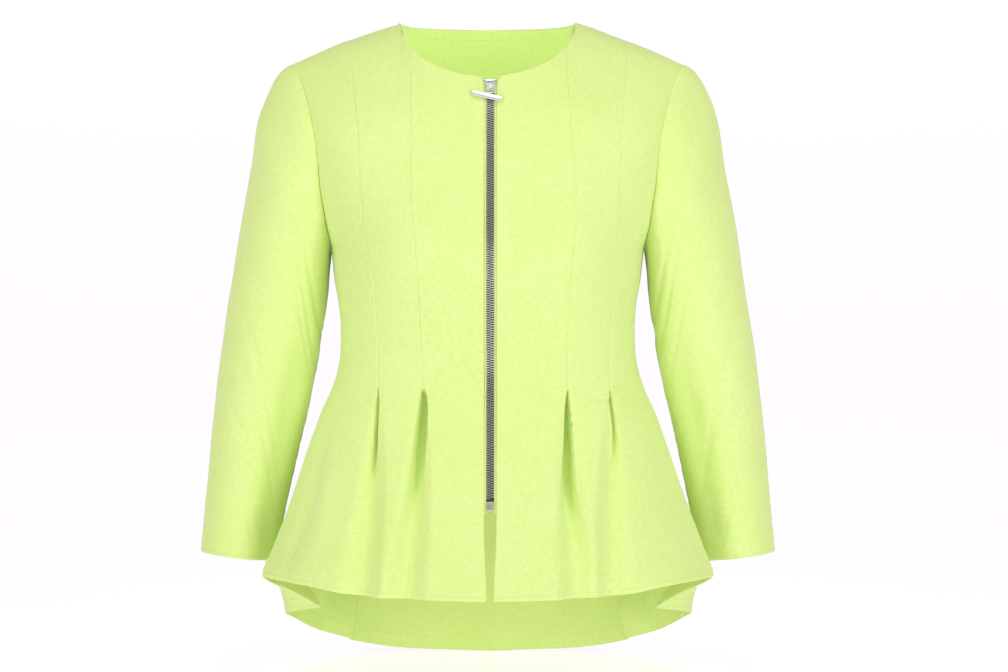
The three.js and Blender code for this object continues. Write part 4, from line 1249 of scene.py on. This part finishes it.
# A plate from an outline in x and z, with rounded rims; y runs from back to front
def plate(outline, back, front, rim):
    outline = np.asarray(outline, float)
    count = len(outline)
    before, after = np.roll(outline, 1, axis=0), np.roll(outline, -1, axis=0)
    run = unit(after - before)
    inward = np.stack([-run[:, 1], run[:, 0]], axis=1)
    centre = outline.mean(axis=0)
    if ((centre - outline) * inward).sum() < 0:
        inward = -inward
    levels = []
    for turn in np.linspace(0, 90, 4):
        sink = rim * (1 - math.sin(math.radians(turn)))
        levels.append((back + rim * (1 - math.cos(math.radians(turn))), sink))
    mirrored = [(back + front - y, sink) for y, sink in levels[::-1]]
    points, faces = [], []
    for y, sink in levels + mirrored:
        ring = outline + inward * sink
        points.extend([x, y, z] for x, z in ring)
    for level in range(len(levels) + len(mirrored) - 1):
        for k in range(count):
            a, b = level * count + k, level * count + (k + 1) % count
            faces.append((a, b, b + count, a + count))
    last = (len(levels) + len(mirrored) - 1) * count
    faces.append(tuple(range(count))[::-1])
    faces.append(tuple(last + k for k in range(count)))
    area = (outline[:, 0] * after[:, 1] - after[:, 0] * outline[:, 1]).sum()
    if area > 0:
        faces = [face[::-1] for face in faces]
    return points, faces


# An outline with rounded corners from its corner points and their radii
def rounded(corners, steps=6):
    out = []
    count = len(corners)
    for k, (x, z, radius) in enumerate(corners):
        here = np.array([x, z], float)
        before = np.array(corners[k - 1][:2], float)
        after = np.array(corners[(k + 1) % count][:2], float)
        start = here + unit(before - here) * radius
        end = here + unit(after - here) * radius
        for s in np.linspace(0, 1, steps):
            out.append((1 - s) ** 2 * start + 2 * s * (1 - s) * here + s * s * end)
    return np.array(out)


def rounded_box(half_width, low, high, low_radius, high_radius):
    return rounded([
        (-half_width, low, low_radius),
        (half_width, low, low_radius),
        (half_width, high, high_radius),
        (-half_width, high, high_radius),
    ])


# A round or oval bar along a path; the ends are closed unless the path is a loop
def tube(path, across, radii, is_loop=False, sides=14):
    path = np.asarray(path, float)
    if is_loop:
        run = unit(np.roll(path, -1, axis=0) - np.roll(path, 1, axis=0))
    else:
        run = unit(np.gradient(path, axis=0))
    across = np.broadcast_to(np.asarray(across, float), path.shape)
    third = unit(np.cross(run, across))
    points, faces = [], []
    for centre, u, v in zip(path, across, third):
        for k in range(sides):
            turn = 2 * np.pi * k / sides
            points.append(centre + u * radii[0] * np.cos(turn) + v * radii[1] * np.sin(turn))
    count = len(path)
    for j in range(count if is_loop else count - 1):
        for k in range(sides):
            a, b = j * sides + k, j * sides + (k + 1) % sides
            c, d = (j + 1) % count * sides + (k + 1) % sides, (j + 1) % count * sides + k
            faces.append((a, d, c, b))
    if not is_loop:
        faces.append(tuple(range(sides)))
        faces.append(tuple((count - 1) * sides + k for k in range(sides))[::-1])
    return points, faces


def slider_rows():
    half = SLIDER["length"] / 2
    top, bottom = SLIDER["topWidth"] / 2, SLIDER["bottomWidth"] / 2
    face = [
        (-bottom, -half, 1.6),
        (bottom, -half, 1.6),
        (bottom + 0.5, half - 6.2, 2.0),
        (top, half - 3.0, 1.6),
        (top, half, 2.4),
        (-top, half, 2.4),
        (-top, half - 3.0, 1.6),
        (-bottom - 0.5, half - 6.2, 2.0),
    ]
    outline = rounded(face)
    front, back, wall = SLIDER["frontFace"], SLIDER["backFace"], SLIDER["plate"]
    rows = [
        plate(outline, front - wall, front, 0.4),
        plate(outline, back, back + wall, 0.4),
    ]
    post_top = half - SLIDER["postLength"] / 2 - 0.4
    post_half = SLIDER["postWidth"] / 2
    post_rise = SLIDER["postLength"] / 2
    post = rounded_box(post_half, post_top - post_rise, post_top + post_rise, 0.8, 0.8)
    rows.append(plate(post, back + 0.5, front - 0.5, 0.2))
    flange = SLIDER["plate"] * 0.8
    for side in (-1, 1):
        run = np.linspace(-half + 1.2, half - 6.0, 8)
        path = [(side * (bottom + 0.1), front - wall, z) for z in run]
        rows.append(tube(path, (1, 0, 0), (0.45, flange)))
    reach = BAIL["length"] / 2 - 0.5
    turns = np.radians(np.linspace(-8, 188, 22))
    arch = []
    for turn in turns:
        out = front + BAIL["rise"] * max(0, math.sin(turn)) ** 0.6 - 0.2
        arch.append((0, out, -BAIL["drop"] + reach * math.cos(turn)))
    rows.append(tube(arch, (1, 0, 0), (BAIL["width"] / 2, 0.5)))
    return [(placed(points, SLIDER["height"]), faces) for points, faces in rows]


slider = joined_rows("zip_slider_metal", slider_rows(), SILVER)
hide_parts("zip_slider")


def pin_height():
    return SLIDER["frontFace"] + BAIL["rise"] / 2 + 0.1


# The pull: a long link through the bail and a crossbar that hangs a little askew
def pull_rows():
    sink = PULL["barRise"] - pin_height()
    half = PULL["halfPin"] + PULL["armWidth"] / 2 - 0.1
    wire = PULL["armWidth"] / 2
    length = PULL["armLength"] - 1.2
    link = []
    for turn in np.radians(np.linspace(0, 180, 12)):
        link.append((half * math.cos(turn), 0, half * 0.32 * math.sin(turn)))
    for turn in np.radians(np.linspace(180, 360, 12)):
        link.append((half * math.cos(turn), 0, -length + half * 0.5 * math.sin(turn)))
    link = np.array(link)
    link[:, 1] = -link[:, 2] * sink / PULL["barMiddle"]
    rows = [tube(link, (0, 1, 0), (wire, wire), is_loop=True)]
    bar_half, rise = PULL["barLength"] / 2, PULL["barHeight"] / 2
    outline = rounded_box(bar_half, -rise, rise, 1.5, 1.5)
    thick = PULL["barThickness"] / 2
    points, faces = plate(outline, -thick, thick, 0.9)
    points = np.array(points)
    tilt = math.radians(PULL["barTilt"])
    x = points[:, 0] * math.cos(tilt) + points[:, 2] * math.sin(tilt)
    z = -points[:, 0] * math.sin(tilt) + points[:, 2] * math.cos(tilt)
    points = np.stack([x + PULL["barShift"], points[:, 1] + sink, z - PULL["barMiddle"]], axis=1)
    rows.append((points, faces))
    shift = (0, pin_height(), -BAIL["drop"])
    return [(placed(points, SLIDER["height"], shift), faces) for points, faces in rows]


pull = joined_rows("zip_pull_metal", pull_rows(), SILVER, body="zip_pull")
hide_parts("zip_pull")


def box_rows():
    half_width, half_height = BOX["width"] / 2, BOX["height"] / 2
    outline = rounded_box(half_width, -half_height, half_height, 1.2, 0.8)
    height = CHAIN["bottom"] - 0.3 - half_height
    rows = [plate(outline, -WALL, BOX["thickness"] - WALL, 0.5)]
    rib = rounded_box(BOX_RIB["halfWidth"], -half_height + 0.8, half_height - 0.6, 0.4, 0.4)
    front = BOX["thickness"] - WALL
    rows.append(plate(rib, front - 0.4, front + BOX_RIB["rise"], 0.2))
    return [(placed(points, height), faces) for points, faces in rows]


box = joined_rows("zip_box_metal", box_rows(), TEETH)
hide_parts("zip_box")

# Studio: a white sweep, soft light and the camera at the picture's place

FLOOR = -647.5
WALL_PLACE = 4500
WALL_BEND = 1200
SWEEP_REACH = 6000
CAMERA_PLACE = (0.016, -3.2, -0.313)
PICTURE_WIDTH = 1008
PIXELS_PER_METRE = 1000
SENSOR = 36


def sweep():
    profile = [(-SWEEP_REACH, FLOOR), (WALL_PLACE, FLOOR)]
    for turn in np.radians(np.linspace(10, 90, 9)):
        back, up = WALL_BEND * math.sin(turn), WALL_BEND * (1 - math.cos(turn))
        profile.append((WALL_PLACE + back, FLOOR + up))
    profile.append((WALL_PLACE + WALL_BEND, 5000))
    points = [(x, y, z) for y, z in profile for x in (-SWEEP_REACH, SWEEP_REACH)]
    faces = [(2 * k, 2 * k + 1, 2 * k + 3, 2 * k + 2) for k in range(len(profile) - 1)]
    mesh = bpy.data.meshes.new("floor")
    mesh.from_pydata((np.array(points) * MM).tolist(), [], faces)
    mesh.polygons.foreach_set("use_smooth", [True] * len(mesh.polygons))
    made = bpy.data.objects.new("floor", mesh)
    bpy.context.collection.objects.link(made)
    material, _, shader = new_material("white_sweep")
    shader.inputs["Base Color"].default_value = (0.58, 0.52, 0.74, 1)
    shader.inputs["Roughness"].default_value = 0.95
    shader.inputs["Specular IOR Level"].default_value = 0.1
    shader.inputs["Emission Color"].default_value = (1, 1, 1, 1)
    shader.inputs["Emission Strength"].default_value = 0.68
    made.data.materials.append(material)


def area_light(name, place, target, size, power, hidden=False):
    data = bpy.data.lights.new(name, "AREA")
    data.shape = "RECTANGLE"
    data.size, data.size_y = size
    data.energy = power
    data.color = (0.91, 0.94, 1.0)
    made = bpy.data.objects.new(name, data)
    bpy.context.collection.objects.link(made)
    made.location = place
    made.rotation_euler = (Vector(target) - Vector(place)).to_track_quat("-Z", "Y").to_euler()
    made.visible_camera = not hidden


sweep()
middle = (0.0, 0.0, -0.3)
area_light("right", (2.2, -2.6, 0.4), middle, (1.4, 2.2), 38.5)
area_light("left", (-2.2, -2.6, 0.4), middle, (1.4, 2.2), 32)
area_light("top", (0.0, -1.1, 2.3), middle, (2.0, 1.2), 26)
area_light("low", (0.0, -3.4, -0.9), middle, (1.6, 0.6), 15)
area_light("inside", (0.0, -0.05, -0.2), (0.0, 0.09, -0.02), (0.16, 0.05), 0.2, hidden=True)

world = bpy.data.worlds.new("studio")
bpy.context.scene.world = world
world.use_nodes = True
background = world.node_tree.nodes["Background"]
background.inputs["Color"].default_value = (1, 1, 0.8, 1)
background.inputs["Strength"].default_value = 0.28

camera_data = bpy.data.cameras.new("camera")
camera_data.sensor_width = SENSOR
camera_data.lens = SENSOR * -CAMERA_PLACE[1] * PIXELS_PER_METRE / PICTURE_WIDTH
camera = bpy.data.objects.new("camera", camera_data)
bpy.context.collection.objects.link(camera)
camera.location = CAMERA_PLACE
camera.rotation_euler = (math.radians(90), 0, 0)
bpy.context.scene.camera = camera
bpy.context.scene.view_settings.view_transform = "Standard"
